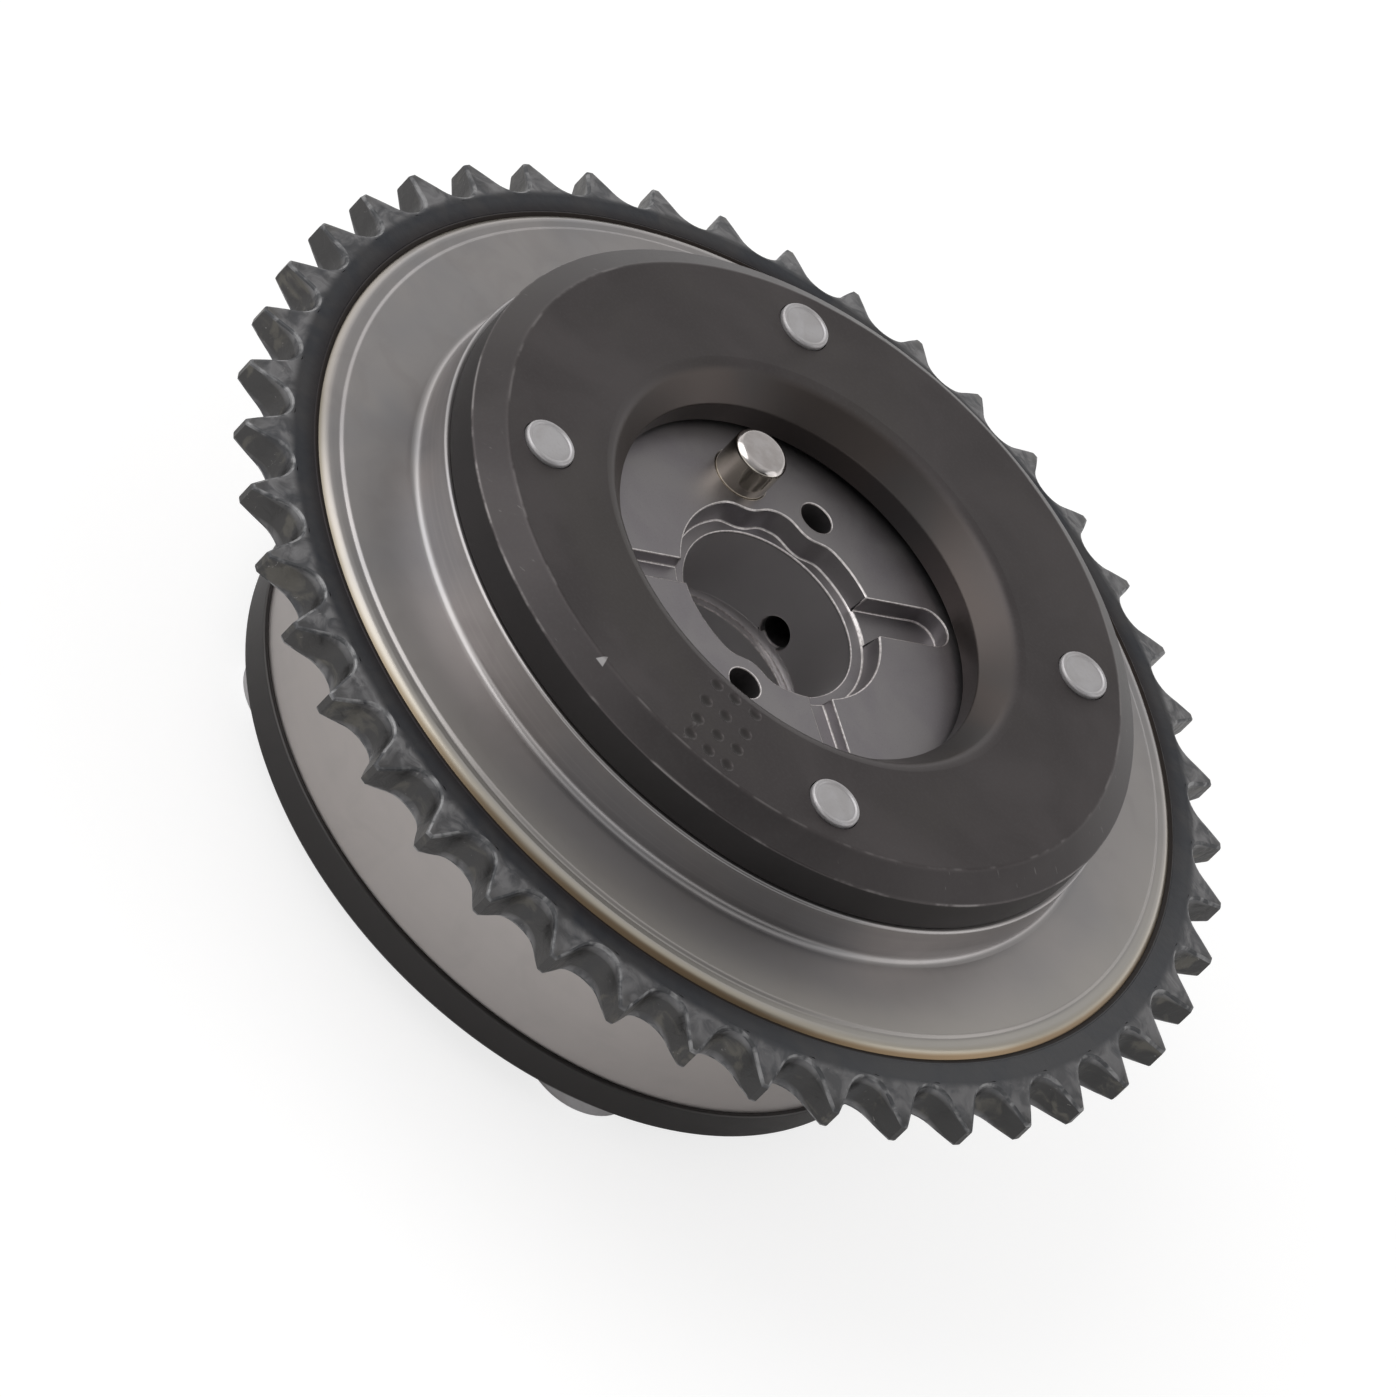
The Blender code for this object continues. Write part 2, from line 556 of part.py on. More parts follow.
def rotor_outline():
    """Hub and vanes, with a seal slot in each vane's tip."""
    outline = []
    chamfer_turn = math.degrees(VANE_TIP_CHAMFER / VANE_TIP_RADIUS)
    slot_turn = math.degrees(math.asin(SEAL_SLOT_HALF_WIDTH / VANE_TIP_RADIUS))
    for vane in VANE_ANGLES:
        start = vane - VANE_HALF_ANGLE
        end = vane + VANE_HALF_ANGLE
        outline.append(polar(HUB_RADIUS, start))
        outline.append(polar(VANE_TIP_RADIUS - VANE_TIP_CHAMFER, start))
        outline += arc(VANE_TIP_RADIUS, start + chamfer_turn, vane - slot_turn)
        outline.append(moved_along(polar(VANE_SLOT_FLOOR, vane), vane, -SEAL_SLOT_HALF_WIDTH))
        outline.append(moved_along(polar(VANE_SLOT_FLOOR, vane), vane, SEAL_SLOT_HALF_WIDTH))
        outline += arc(VANE_TIP_RADIUS, vane + slot_turn, end - chamfer_turn)
        outline.append(polar(VANE_TIP_RADIUS - VANE_TIP_CHAMFER, end))
        outline += arc(HUB_RADIUS, end, vane + SECTOR - VANE_HALF_ANGLE)[:-1]
    return outline


def recess_outline(shrink):
    """The round recess about the bore, with a wall left round the dowel and the oil holes."""
    bosses = [(DOWEL_CIRCLE_RADIUS, DOWEL_ANGLE, DOWEL_RADIUS + PIN_SEAT_GAP + DOWEL_WALL)]
    for angle in OIL_HOLE_ANGLES:
        bosses.append((OIL_HOLE_CIRCLE_RADIUS, angle, OIL_HOLE_RADIUS + OIL_HOLE_WALL))
    outline = []
    for index in range(RECESS_STEPS):
        angle = 360.0 * index / RECESS_STEPS
        radius = RECESS_RADIUS
        for boss_circle, boss_angle, boss_radius in bosses:
            turn = math.radians(angle - boss_angle)
            inside = boss_radius ** 2 - (boss_circle * math.sin(turn)) ** 2
            if inside > 0 and math.cos(turn) > 0:
                radius = min(radius, boss_circle * math.cos(turn) - math.sqrt(inside))
        outline.append(polar(radius - shrink, angle))
    return outline


def slot_outline(angle, offset, half_width, start, reach, rounded):
    """A slot along a direction, with a round or a plain outer end."""
    near = moved_along(polar(start, angle), angle, offset)
    far = moved_along(polar(reach - (half_width if rounded else 0.0), angle), angle, offset)
    points = [moved_along(near, angle, half_width), moved_along(near, angle, -half_width)]
    if rounded:
        points += [far + polar(half_width, turn) for turn in
                   [angle - 90.0 + 22.5 * index for index in range(9)]]
    else:
        points += [moved_along(far, angle, -half_width), moved_along(far, angle, half_width)]
    return points


def cut_rotor_bore(rotor):
    """Bore with its oil groove, the seat of the centre bolt and a bevel under the recess."""
    groove_top = ROTOR_TOP_Z - FEED_HOLE_FROM_FACE - BORE_GROOVE_BELOW_FEED
    groove_bottom = groove_top - BORE_GROOVE_WIDTH
    groove_radius = BORE_RADIUS + BORE_GROOVE_DEPTH
    seat_z = ROTOR_Z + BOLT_SEAT_DEPTH
    profile = [
        (0.0, ROTOR_Z - CUT_OVERRUN),
        (BOLT_SEAT_RADIUS, ROTOR_Z - CUT_OVERRUN),
        (BOLT_SEAT_RADIUS, seat_z),
        (BORE_RADIUS + BORE_EDGE, seat_z),
        (BORE_RADIUS, seat_z + BORE_EDGE),
        (BORE_RADIUS, groove_bottom),
        (groove_radius, groove_bottom),
        (groove_radius, groove_top),
        (BORE_RADIUS, groove_top),
        (BORE_RADIUS, ROTOR_TOP_Z + CUT_OVERRUN),
        (0.0, ROTOR_TOP_Z + CUT_OVERRUN),
    ]
    bm = bmesh.new()
    spin_profile(bm, profile, BORE_STEPS, closed=False)
    cut(rotor, bm, "rotor_bore")


def cut_rotor_recess(rotor):
    """The lobed recess, a little narrower at its floor."""
    slope = RECESS_TAPER / RECESS_DEPTH
    rings = []
    for height in (-RECESS_DEPTH, CUT_OVERRUN):
        shrink = -height * slope
        rings.append([point + Vector((0, 0, ROTOR_TOP_Z + height)) for point in recess_outline(shrink)])
    bm = bmesh.new()
    bridge_rings(bm, rings, closed=False)
    cut(rotor, bm, "rotor_recess")


def cut_rotor_face_slots(rotor):
    """The blind slot and the two grooves that run out to the chambers."""
    start = BORE_RADIUS / 2
    bm = bmesh.new()
    outline = slot_outline(BLIND_SLOT_ANGLE, 0.0, BLIND_SLOT_HALF_WIDTH, start, BLIND_SLOT_REACH, True)
    extrude_outline(bm, outline, ROTOR_TOP_Z - BLIND_SLOT_DEPTH, ROTOR_TOP_Z + CUT_OVERRUN)
    for angle, offset in FACE_GROOVES:
        outline = slot_outline(angle, offset, FACE_GROOVE_HALF_WIDTH, start,
                               HUB_RADIUS + CUT_OVERRUN, False)
        extrude_outline(bm, outline, ROTOR_TOP_Z - FACE_GROOVE_DEPTH, ROTOR_TOP_Z + CUT_OVERRUN)
    cut(rotor, bm, "rotor_face_slots")


def cut_rotor_holes(rotor):
    """Blind holes for the dowel pin and the oil, and the bore of the lock pin through one vane."""
    bm = bmesh.new()
    add_rod(bm, polar(DOWEL_CIRCLE_RADIUS, DOWEL_ANGLE), DOWEL_RADIUS + PIN_SEAT_GAP,
            ROTOR_TOP_Z - DOWEL_SUNK - SEAT_GAP, ROTOR_TOP_Z + CUT_OVERRUN, HOLE_STEPS)
    for angle in OIL_HOLE_ANGLES:
        centre = polar(OIL_HOLE_CIRCLE_RADIUS, angle)
        rings = []
        for radius, z in (
            (OIL_HOLE_RADIUS, ROTOR_TOP_Z - OIL_HOLE_DEPTH),
            (OIL_HOLE_RADIUS, ROTOR_TOP_Z - OIL_HOLE_EDGE),
            (OIL_HOLE_RADIUS + OIL_HOLE_EDGE + CUT_OVERRUN, ROTOR_TOP_Z + CUT_OVERRUN),
        ):
            rings.append([centre + polar(radius, 360.0 * index / SMALL_HOLE_STEPS, z)
                          for index in range(SMALL_HOLE_STEPS)])
        bridge_rings(bm, rings, closed=False)
    add_rod(bm, polar(LOCK_CIRCLE_RADIUS, VANE_ANGLES[0]), LOCK_BORE_RADIUS,
            ROTOR_Z - CUT_OVERRUN, ROTOR_TOP_Z + CUT_OVERRUN, HOLE_STEPS)
    cut(rotor, bm, "rotor_holes")


def cut_feed_holes(rotor):
    """Radial oil holes from the bore to the chambers, one beside each vane."""
    z = ROTOR_TOP_Z - FEED_HOLE_FROM_FACE
    bm = bmesh.new()
    for index in range(CHAMBERS):
        angle = FEED_HOLE_ANGLE + SECTOR * index
        rings = []
        for distance in (BORE_RADIUS / 2, HUB_RADIUS + CUT_OVERRUN):
            centre = polar(distance, angle, z)
            ring = []
            for step in range(SMALL_HOLE_STEPS):
                turn = math.tau * (step + 0.5) / SMALL_HOLE_STEPS
                point = moved_along(centre, angle, FEED_HOLE_RADIUS * math.cos(turn))
                ring.append(point + Vector((0, 0, FEED_HOLE_RADIUS * math.sin(turn))))
            rings.append(ring)
        bridge_rings(bm, rings, closed=False)
    cut(rotor, bm, "feed_holes")


def make_rotor(material, parent):
    """Hub with four vanes, which the camshaft is bolted to."""
    bm = bmesh.new()
    extrude_outline(bm, rotor_outline(), ROTOR_Z, ROTOR_TOP_Z)
    rotor = add_piece("rotor", bm, material, parent)
    cut_rotor_bore(rotor)
    cut_rotor_recess(rotor)
    cut_rotor_face_slots(rotor)
    cut_rotor_holes(rotor)
    cut_feed_holes(rotor)
    return rotor


def make_dowel_pin(material, parent):
    """Bevelled pin that stands out of the rotor's face and locates the camshaft."""
    bottom = ROTOR_TOP_Z - DOWEL_SUNK
    top = ROTOR_TOP_Z + DOWEL_PROUD
    profile = [
        (0.0, bottom),
        (DOWEL_RADIUS - DOWEL_EDGE, bottom),
        (DOWEL_RADIUS, bottom + DOWEL_EDGE),
        (DOWEL_RADIUS, top - DOWEL_EDGE),
        (DOWEL_RADIUS - DOWEL_EDGE, top),
        (0.0, top),
    ]
    bm = bmesh.new()
    spin_profile(bm, profile, HOLE_STEPS, closed=False)
    pin = add_piece("dowel_pin", bm, material, parent)
    pin.location = polar(DOWEL_CIRCLE_RADIUS, DOWEL_ANGLE)


def seal_outline(inner, outer):
    """End view of a seal strip that lies along +X, with its corners eased."""
    half = SEAL_THICKNESS / 2
    ease = SEAL_THICKNESS / 8
    return [
        Vector((inner, -half, 0.0)),
        Vector((outer - ease, -half, 0.0)),
        Vector((outer, -half + ease, 0.0)),
        Vector((outer, half - ease, 0.0)),
        Vector((outer - ease, half, 0.0)),
        Vector((inner, half, 0.0)),
    ]


def add_leaf(bm, low, high, sag_outwards):
    """A bowed leaf spring along Z that lies in the radial space from low to high."""
    bottom = ROTOR_Z + LEAF_END_MARGIN
    length = ROTOR_LENGTH - 2 * LEAF_END_MARGIN
    travel = high - low - LEAF_THICKNESS
    inner_side = []
    outer_side = []
    for index in range(LEAF_STEPS + 1):
        share = index / LEAF_STEPS
        bow = math.sin(math.pi * share)
        if not sag_outwards:
            bow = 1.0 - bow
        radius = low + travel * bow
        inner_side.append((radius, bottom + length * share))
        outer_side.append((radius + LEAF_THICKNESS, bottom + length * share))
    section = inner_side + list(reversed(outer_side))
    face = bm.faces.new([bm.verts.new((radius, -LEAF_WIDTH / 2, z)) for radius, z in section])
    grown = bmesh.ops.extrude_face_region(bm, geom=[face])
    verts = [item for item in grown["geom"] if isinstance(item, bmesh.types.BMVert)]
    bmesh.ops.translate(bm, verts=verts, vec=(0, LEAF_WIDTH, 0))


def make_seals(kind, seal_range, leaf_range, sag_outwards, angles, finishes, parent):
    """A seal strip and its leaf spring for each vane or web."""
    seal_finish, leaf_finish = finishes
    bm = bmesh.new()
    extrude_outline(bm, seal_outline(*seal_range), ROTOR_Z, ROTOR_TOP_Z)
    seal = add_piece(f"{kind}_seal_1", bm, seal_finish, parent)
    seal.rotation_euler = (0.0, 0.0, math.radians(angles[0]))
    bm = bmesh.new()
    add_leaf(bm, *leaf_range, sag_outwards)
    leaf = add_piece(f"{kind}_seal_spring_1", bm, leaf_finish, parent)
    leaf.rotation_euler = (0.0, 0.0, math.radians(angles[0]))
    for index, angle in enumerate(angles[1:], start=2):
        add_copy(f"{kind}_seal_{index}", seal, parent, (0, 0, 0), angle)
        add_copy(f"{kind}_seal_spring_{index}", leaf, parent, (0, 0, 0), angle)


def make_vane_seals(finishes, parent):
    """Seals that press outwards on the chamber wall."""
    outer = VANE_TIP_RADIUS + SEAL_PROUD
    inner = outer - VANE_SEAL_HEIGHT
    leaf_range = (VANE_SLOT_FLOOR + SEAT_GAP, inner - SEAT_GAP)
    make_seals("vane", (inner, outer), leaf_range, True, VANE_ANGLES, finishes, parent)


def make_web_seals(finishes, parent):
    """Seals that press inwards on the hub, so their eased side faces the hub."""
    inner = WEB_TIP_RADIUS - SEAL_PROUD
    outer = inner + WEB_SEAL_HEIGHT
    leaf_range = (outer + SEAT_GAP, WEB_SLOT_FLOOR - SEAT_GAP)
    make_seals("web", (outer, inner), leaf_range, False, WEB_ANGLES, finishes, parent)


def make_lock_pin(material, parent):
    """Hollow stepped pin that drops into the bush and locks the rotor; drawn clear of it here."""
    outer = LOCK_PIN_RADIUS
    inner = outer - LOCK_PIN_WALL
    bottom = REAR_COVER_TOP_Z + LOCK_PIN_LIFT
    shoulder = bottom + LOCK_PIN_NOSE_LENGTH
    top = bottom + LOCK_PIN_LENGTH
    profile = [
        (0.0, bottom),
        (LOCK_PIN_NOSE_RADIUS - LOCK_PIN_EDGE, bottom),
        (LOCK_PIN_NOSE_RADIUS, bottom + LOCK_PIN_EDGE),
        (LOCK_PIN_NOSE_RADIUS, shoulder),
        (outer, shoulder + outer - LOCK_PIN_NOSE_RADIUS),
        (outer, top - LOCK_PIN_EDGE),
        (outer - LOCK_PIN_EDGE, top),
        (inner, top),
        (inner, bottom + LOCK_PIN_FLOOR),
        (0.0, bottom + LOCK_PIN_FLOOR),
    ]
    bm = bmesh.new()
    spin_profile(bm, profile, HOLE_STEPS, closed=False)
    pin = add_piece("lock_pin", bm, material, parent)
    pin.location = polar(LOCK_CIRCLE_RADIUS, VANE_ANGLES[0])


def make_lock_spring_seat(material, parent):
    """Plug at the front end of the lock pin's bore, with a spigot that centres the spring."""
    radius = LOCK_BORE_RADIUS - SEAT_GAP
    bottom = ROTOR_TOP_Z - LOCK_SEAT_THICKNESS
    profile = [
        (0.0, bottom - LOCK_SEAT_SPIGOT_HEIGHT),
        (LOCK_SEAT_SPIGOT_RADIUS, bottom - LOCK_SEAT_SPIGOT_HEIGHT),
        (LOCK_SEAT_SPIGOT_RADIUS, bottom),
        (radius, bottom),
        (radius, ROTOR_TOP_Z),
        (0.0, ROTOR_TOP_Z),
    ]
    bm = bmesh.new()
    spin_profile(bm, profile, HOLE_STEPS, closed=False)
    seat = add_piece("lock_spring_seat", bm, material, parent)
    seat.location = polar(LOCK_CIRCLE_RADIUS, VANE_ANGLES[0])


def make_lock_spring(material, parent):
    """Coil spring from the floor of the hollow pin to its seat."""
    low = REAR_COVER_TOP_Z + LOCK_PIN_LIFT + LOCK_PIN_FLOOR + SEAT_GAP + LOCK_SPRING_WIRE_RADIUS
    high = ROTOR_TOP_Z - LOCK_SEAT_THICKNESS - SEAT_GAP - LOCK_SPRING_WIRE_RADIUS
    curve = bpy.data.curves.new("lock_spring", "CURVE")
    curve.dimensions = "3D"
    curve.bevel_depth = LOCK_SPRING_WIRE_RADIUS
    curve.bevel_resolution = 1
    curve.use_fill_caps = True
    spline = curve.splines.new("POLY")
    count = int(LOCK_SPRING_TURNS * SPRING_STEPS_PER_TURN)
    spline.points.add(count)
    for index in range(count + 1):
        share = index / count
        point = polar(LOCK_COIL_RADIUS, 360.0 * LOCK_SPRING_TURNS * share, low + (high - low) * share)
        spline.points[index].co = (*point, 1.0)
    curve.materials.append(material)
    spring = link_object("lock_spring", curve)
    spring.parent = parent
    spring.location = polar(LOCK_CIRCLE_RADIUS, VANE_ANGLES[0])


def make_lock_bush(material, parent):
    """Hardened bush in the rear cover that the lock pin drops into."""
    inner = LOCK_PIN_NOSE_RADIUS + LOCK_BUSH_PLAY
    bottom = REAR_COVER_TOP_Z - LOCK_BUSH_HEIGHT
    profile = [
        (inner, bottom),
        (LOCK_BUSH_RADIUS, bottom),
        (LOCK_BUSH_RADIUS, REAR_COVER_TOP_Z),
        (inner + LOCK_BUSH_EDGE, REAR_COVER_TOP_Z),
        (inner, REAR_COVER_TOP_Z - LOCK_BUSH_EDGE),
    ]
    bm = bmesh.new()
    spin_profile(bm, profile, HOLE_STEPS, closed=True)
    bush = add_piece("lock_bush", bm, material, parent)
    bush.location = polar(LOCK_CIRCLE_RADIUS, VANE_ANGLES[0])


def build():
    """The fixed group stands on the world axis, and the rotor group hangs on its own axis."""
    for item in list(bpy.data.objects):
        bpy.data.objects.remove(item, do_unlink=True)
    scene_units = bpy.context.scene.unit_settings
    scene_units.system = "METRIC"
    scene_units.length_unit = "MILLIMETERS"

    bright_steel = finish("bright_turned_steel", (0.45, 0.44, 0.43), 0.3, 1.0)
    sprocket_steel = finish("hardened_sprocket_steel", (0.12, 0.12, 0.13), 0.55, 0.9)
    black_plate = finish("blackened_plate", (0.055, 0.052, 0.05), 0.5, 0.7)
    rivet_steel = finish("rivet_steel", (0.5, 0.5, 0.5), 0.4, 1.0)
    rotor_steel = finish("sintered_rotor_steel", (0.38, 0.37, 0.38), 0.45, 1.0)
    ground_steel = finish("ground_pin_steel", (0.55, 0.53, 0.5), 0.15, 1.0)
    seal_polymer = finish("seal_polymer", (0.08, 0.07, 0.06), 0.5, 0.0)
    spring_steel = finish("spring_steel", (0.35, 0.36, 0.38), 0.3, 1.0)

    stator_frame = link_object("stator_frame", None)
    rotor_axis = link_object("rotor_axis", None)
    rotor_axis.parent = stator_frame

    make_sprocket_ring(sprocket_steel, stator_frame)
    make_stator_housing(bright_steel, stator_frame)
    make_camshaft_side_cover(black_plate, stator_frame)
    make_rear_cover(black_plate, stator_frame)
    make_rivets(rivet_steel, stator_frame)
    make_web_seals((seal_polymer, spring_steel), stator_frame)
    make_lock_bush(ground_steel, stator_frame)

    make_rotor(rotor_steel, rotor_axis)
    make_dowel_pin(ground_steel, rotor_axis)
    make_vane_seals((seal_polymer, spring_steel), rotor_axis)
    make_lock_spring_seat(rivet_steel, rotor_axis)
    make_lock_spring(spring_steel, rotor_axis)
    make_lock_pin(ground_steel, rotor_axis)


build()
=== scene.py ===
# %% [markdown]
# # A cam phaser in steel
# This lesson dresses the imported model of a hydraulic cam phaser: a chain sprocket welded round a
# turned housing, two dark cover plates held by four rivets, and a rotor that shows in the mouth.
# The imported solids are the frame. They come in first, and every piece made here keeps their place.

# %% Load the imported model
import math

import bpy
from mathutils import Matrix, Vector


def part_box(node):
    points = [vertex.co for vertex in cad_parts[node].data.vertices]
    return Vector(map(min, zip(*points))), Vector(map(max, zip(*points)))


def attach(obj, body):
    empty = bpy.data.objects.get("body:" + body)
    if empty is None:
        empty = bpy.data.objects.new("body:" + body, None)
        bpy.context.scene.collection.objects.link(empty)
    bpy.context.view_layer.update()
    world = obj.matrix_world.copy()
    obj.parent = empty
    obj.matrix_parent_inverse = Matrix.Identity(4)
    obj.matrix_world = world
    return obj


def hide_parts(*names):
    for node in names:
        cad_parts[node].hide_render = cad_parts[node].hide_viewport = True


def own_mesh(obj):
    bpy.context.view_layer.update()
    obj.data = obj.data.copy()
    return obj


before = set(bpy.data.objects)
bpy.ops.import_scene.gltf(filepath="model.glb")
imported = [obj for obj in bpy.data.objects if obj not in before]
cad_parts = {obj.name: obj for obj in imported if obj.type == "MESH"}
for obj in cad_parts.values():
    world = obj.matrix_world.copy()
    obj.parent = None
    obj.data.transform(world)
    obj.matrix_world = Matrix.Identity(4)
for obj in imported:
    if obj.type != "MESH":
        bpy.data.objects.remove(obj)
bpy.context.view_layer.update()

bpy.ops.object.select_all(action="DESELECT")
MM = 0.001

# %% [markdown]
# ## The camera
# The photograph was taken from far away, so the lens is long and the circles stay almost true
# ellipses. The camera also leans over by 45 degrees. It is built from the direction it looks back
# along, because three such vectors are easier to check than three Euler angles.

# %% Camera
AZIMUTH, ELEVATION, ROLL = (math.radians(angle) for angle in (11.63, 36.8, 44.6))
back = Vector((math.sin(AZIMUTH) * math.cos(ELEVATION),
               -math.cos(AZIMUTH) * math.cos(ELEVATION), math.sin(ELEVATION)))
level_right = Vector((math.cos(AZIMUTH), math.sin(AZIMUTH), 0.0))
level_up = back.cross(level_right)
image_right = math.cos(ROLL) * level_right + math.sin(ROLL) * level_up
image_up = -math.sin(ROLL) * level_right + math.cos(ROLL) * level_up
AIM = Vector((0, 0, 33.1 * MM))
DISTANCE, SHIFT_LEFT, SHIFT_DOWN = 1221.6 * MM, 5.163 * MM, 6.692 * MM
SENSOR_WIDTH, FOCAL_LENGTH = 36.0, 321.3
place = AIM + DISTANCE * back - SHIFT_LEFT * image_right - SHIFT_DOWN * image_up

bpy.ops.object.camera_add()
camera = bpy.context.object
camera.matrix_world = (Matrix.Translation(place)
                       @ Matrix((image_right, image_up, back)).transposed().to_4x4())
camera.data.sensor_fit = "HORIZONTAL"
camera.data.sensor_width = SENSOR_WIDTH
camera.data.lens = FOCAL_LENGTH
bpy.context.scene.camera = camera
print("camera stands", round(place.length, 3), "m from the phaser")

# %% [markdown]
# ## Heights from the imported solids
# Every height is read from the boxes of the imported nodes, so nothing has to be fitted by eye.

# %% Heights
def heights(node):
    """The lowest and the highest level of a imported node."""
    return [corner.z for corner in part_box(node)]


REAR_Z, REAR_TOP_Z = heights("rear_cover")
HOUSING_Z, HOUSING_TOP_Z = heights("stator_housing")
COVER_Z, COVER_TOP_Z = heights("camshaft_side_cover")
ROTOR_Z, ROTOR_TOP_Z = heights("rotor")
SPROCKET_Z, SPROCKET_TOP_Z = heights("sprocket_ring")
DOWEL_Z, DOWEL_TOP_Z = heights("dowel_pin")
RIVET_TOP_Z = heights("rivet_1")[1]
FLANGE_FACE_Z = HOUSING_TOP_Z - 4.6 * MM
RECESS_DEPTH = 2.4 * MM
CAMSHAFT_HEIGHTS = {"cover": COVER_TOP_Z, "rotor": ROTOR_TOP_Z, "flange": FLANGE_FACE_Z}
print({name: round(z / MM, 2) for name, z in CAMSHAFT_HEIGHTS.items()})

# %% [markdown]
# ## Turned pieces
# Almost everything here came off a lathe, so the main helper works like one: the corners of a
# circle primitive are moved onto the section of the piece, and the spin operator turns it about the
# axis. Sharp corners of a section are eased first, because no real edge is perfectly sharp and the
# small rounding is what catches the light. The finished mesh is put in a fixed order, so that each
# run of this lesson gives the same model.

# %% Lathe
WELD_DISTANCE = 0.001 * MM
LEAST_SPAN = 2.5


def polar(radius, degrees, z=0.0):
    """A point given by its distance from the axis, its angle and its height."""
    angle = math.radians(degrees)
    return Vector((radius * math.cos(angle), radius * math.sin(angle), z))


def eased(section, radius, steps=3):
    """Round each corner of a closed section that isn't on the axis.

    A third number in a corner is a radius of its own. A side stays LEAST_SPAN times as long as what
    the rounding takes of it.
    """
    points = []
    corners = [Vector(corner[:2]) for corner in section]
    for index, corner in enumerate(corners):
        if corner.x == 0.0:
            points.append(corner)
            continue
        reach = section[index][2] if len(section[index]) > 2 else radius
        to_before = corners[index - 1] - corner
        to_after = corners[(index + 1) % len(corners)] - corner
        start = corner + to_before.normalized() * min(reach, to_before.length / LEAST_SPAN)
        end = corner + to_after.normalized() * min(reach, to_after.length / LEAST_SPAN)
        for step in range(steps + 1):
            share = step / steps
            points.append(start.lerp(corner, share).lerp(corner.lerp(end, share), share))
    return points


def add_outline(name, points, filled):
    """A closed line of points, or the flat face inside it."""
    bpy.ops.mesh.primitive_circle_add(vertices=len(points), radius=MM,
                                      fill_type="NGON" if filled else "NOTHING")
    piece = bpy.context.object
    piece.name = piece.data.name = name
    for vert, point in zip(piece.data.vertices, points):
        vert.co = point
    return piece


def point_outwards():
    """Merge what lies on the same spot, drop loose edges and turn all faces outwards."""
    bpy.ops.mesh.select_all(action="SELECT")
    bpy.ops.mesh.remove_doubles(threshold=WELD_DISTANCE)
    bpy.ops.mesh.delete_loose(use_verts=True, use_edges=True, use_faces=False)
    bpy.ops.mesh.select_all(action="SELECT")
    bpy.ops.mesh.normals_make_consistent(inside=False)


def set_in_order(piece):
    """Write a mesh again with its points and faces sorted by place.

    Spin and Boolean leave them in an order that changes from run to run, and what follows depends
    on it.
    """
    data = piece.data
    old_order = sorted(range(len(data.vertices)), key=lambda index: data.vertices[index].co[:])
    new_index = {old: new for new, old in enumerate(old_order)}
    faces = []
    for face in data.polygons:
        corners = [new_index[index] for index in face.vertices]
        first = corners.index(min(corners))
        faces.append((corners[first:] + corners[:first], face.material_index))
    faces.sort()
    points = [data.vertices[index].co.copy() for index in old_order]
    data.clear_geometry()
    data.from_pydata(points, [], [corners for corners, _ in faces])
    for face, (_, material_index) in zip(data.polygons, faces):
        face.material_index = material_index


def lathe(name, section, steps):
    """Turn a closed section of (radius, height) points about the axis."""
    piece = add_outline(name, [(radius, 0.0, z) for radius, z in section], filled=False)
    bpy.ops.object.mode_set(mode="EDIT")
    bpy.ops.mesh.select_all(action="SELECT")
    bpy.ops.mesh.spin(steps=steps, angle=math.tau, center=(0, 0, 0), axis=(0, 0, 1))
    point_outwards()
    bpy.ops.object.mode_set(mode="OBJECT")
    set_in_order(piece)
    return piece


# %% [markdown]
# ## Holes and outlines
# A prism is a flat outline that is extruded. Prisms, rods and dimples are taken out of a piece with
# a Boolean that is applied at once. Where the rims of the cuts show, they are eased with a Bevel
# modifier. Weighted Normal keeps the flat faces flat beside them.

# %% Prisms, cuts and eased rims
OVERRUN = 1.0 * MM
SPLIT_LIMIT, SMOOTH_LIMIT, RIM_LIMIT = 0.1, 32.0, 35.0
MANY_CORNERS, NEARLY_LEVEL = 24, 0.9999


def prism(name, outline, bottom, top):
    """Extrude a flat outline from one height to another."""
    piece = add_outline(name, [(point.x, point.y, bottom) for point in outline], filled=True)
    bpy.ops.object.mode_set(mode="EDIT")
    bpy.ops.mesh.select_all(action="SELECT")
    bpy.ops.mesh.extrude_region_move(TRANSFORM_OT_translate={"value": (0, 0, top - bottom)})
    point_outwards()
    bpy.ops.object.mode_set(mode="OBJECT")
    return piece


def rods(name, centres, radius, bottom, top, steps):
    """Upright rods at several places, as one object."""
    made = []
    for centre in centres:
        outline = [centre + polar(radius, 360.0 * index / steps) for index in range(steps)]
        made.append(prism(name, outline, bottom, top))
    return join(made)


def pick(*pieces):
    """Select these objects and no others, with the first one active."""
    bpy.ops.object.select_all(action="DESELECT")
    for piece in pieces:
        piece.select_set(True)
    bpy.context.view_layer.objects.active = pieces[0]


def join(pieces):
    """Join several objects into the first one."""
    pick(*pieces)
    bpy.ops.object.join()
    return pieces[0]


def apply_modifier(piece, kind, **settings):
    """Add a modifier with these settings and apply it."""
    bpy.context.view_layer.objects.active = piece
    modifier = piece.modifiers.new(kind.lower(), kind)
    for name, value in settings.items():
        setattr(modifier, name, value)
    bpy.ops.object.modifier_apply(modifier=modifier.name)


def carve(piece, *cutters):
    """Take the cutters out of a piece, and merge the faces that the cuts have split."""
    for cutter in cutters:
        apply_modifier(piece, "BOOLEAN", operation="DIFFERENCE", solver="EXACT", object=cutter)
        bpy.data.meshes.remove(cutter.data)
        set_in_order(piece)
    pick(piece)
    bpy.ops.object.mode_set(mode="EDIT")
    bpy.ops.mesh.select_all(action="SELECT")
    bpy.ops.mesh.dissolve_limited(angle_limit=math.radians(SPLIT_LIMIT), delimit={"MATERIAL"})
    bpy.ops.object.mode_set(mode="OBJECT")


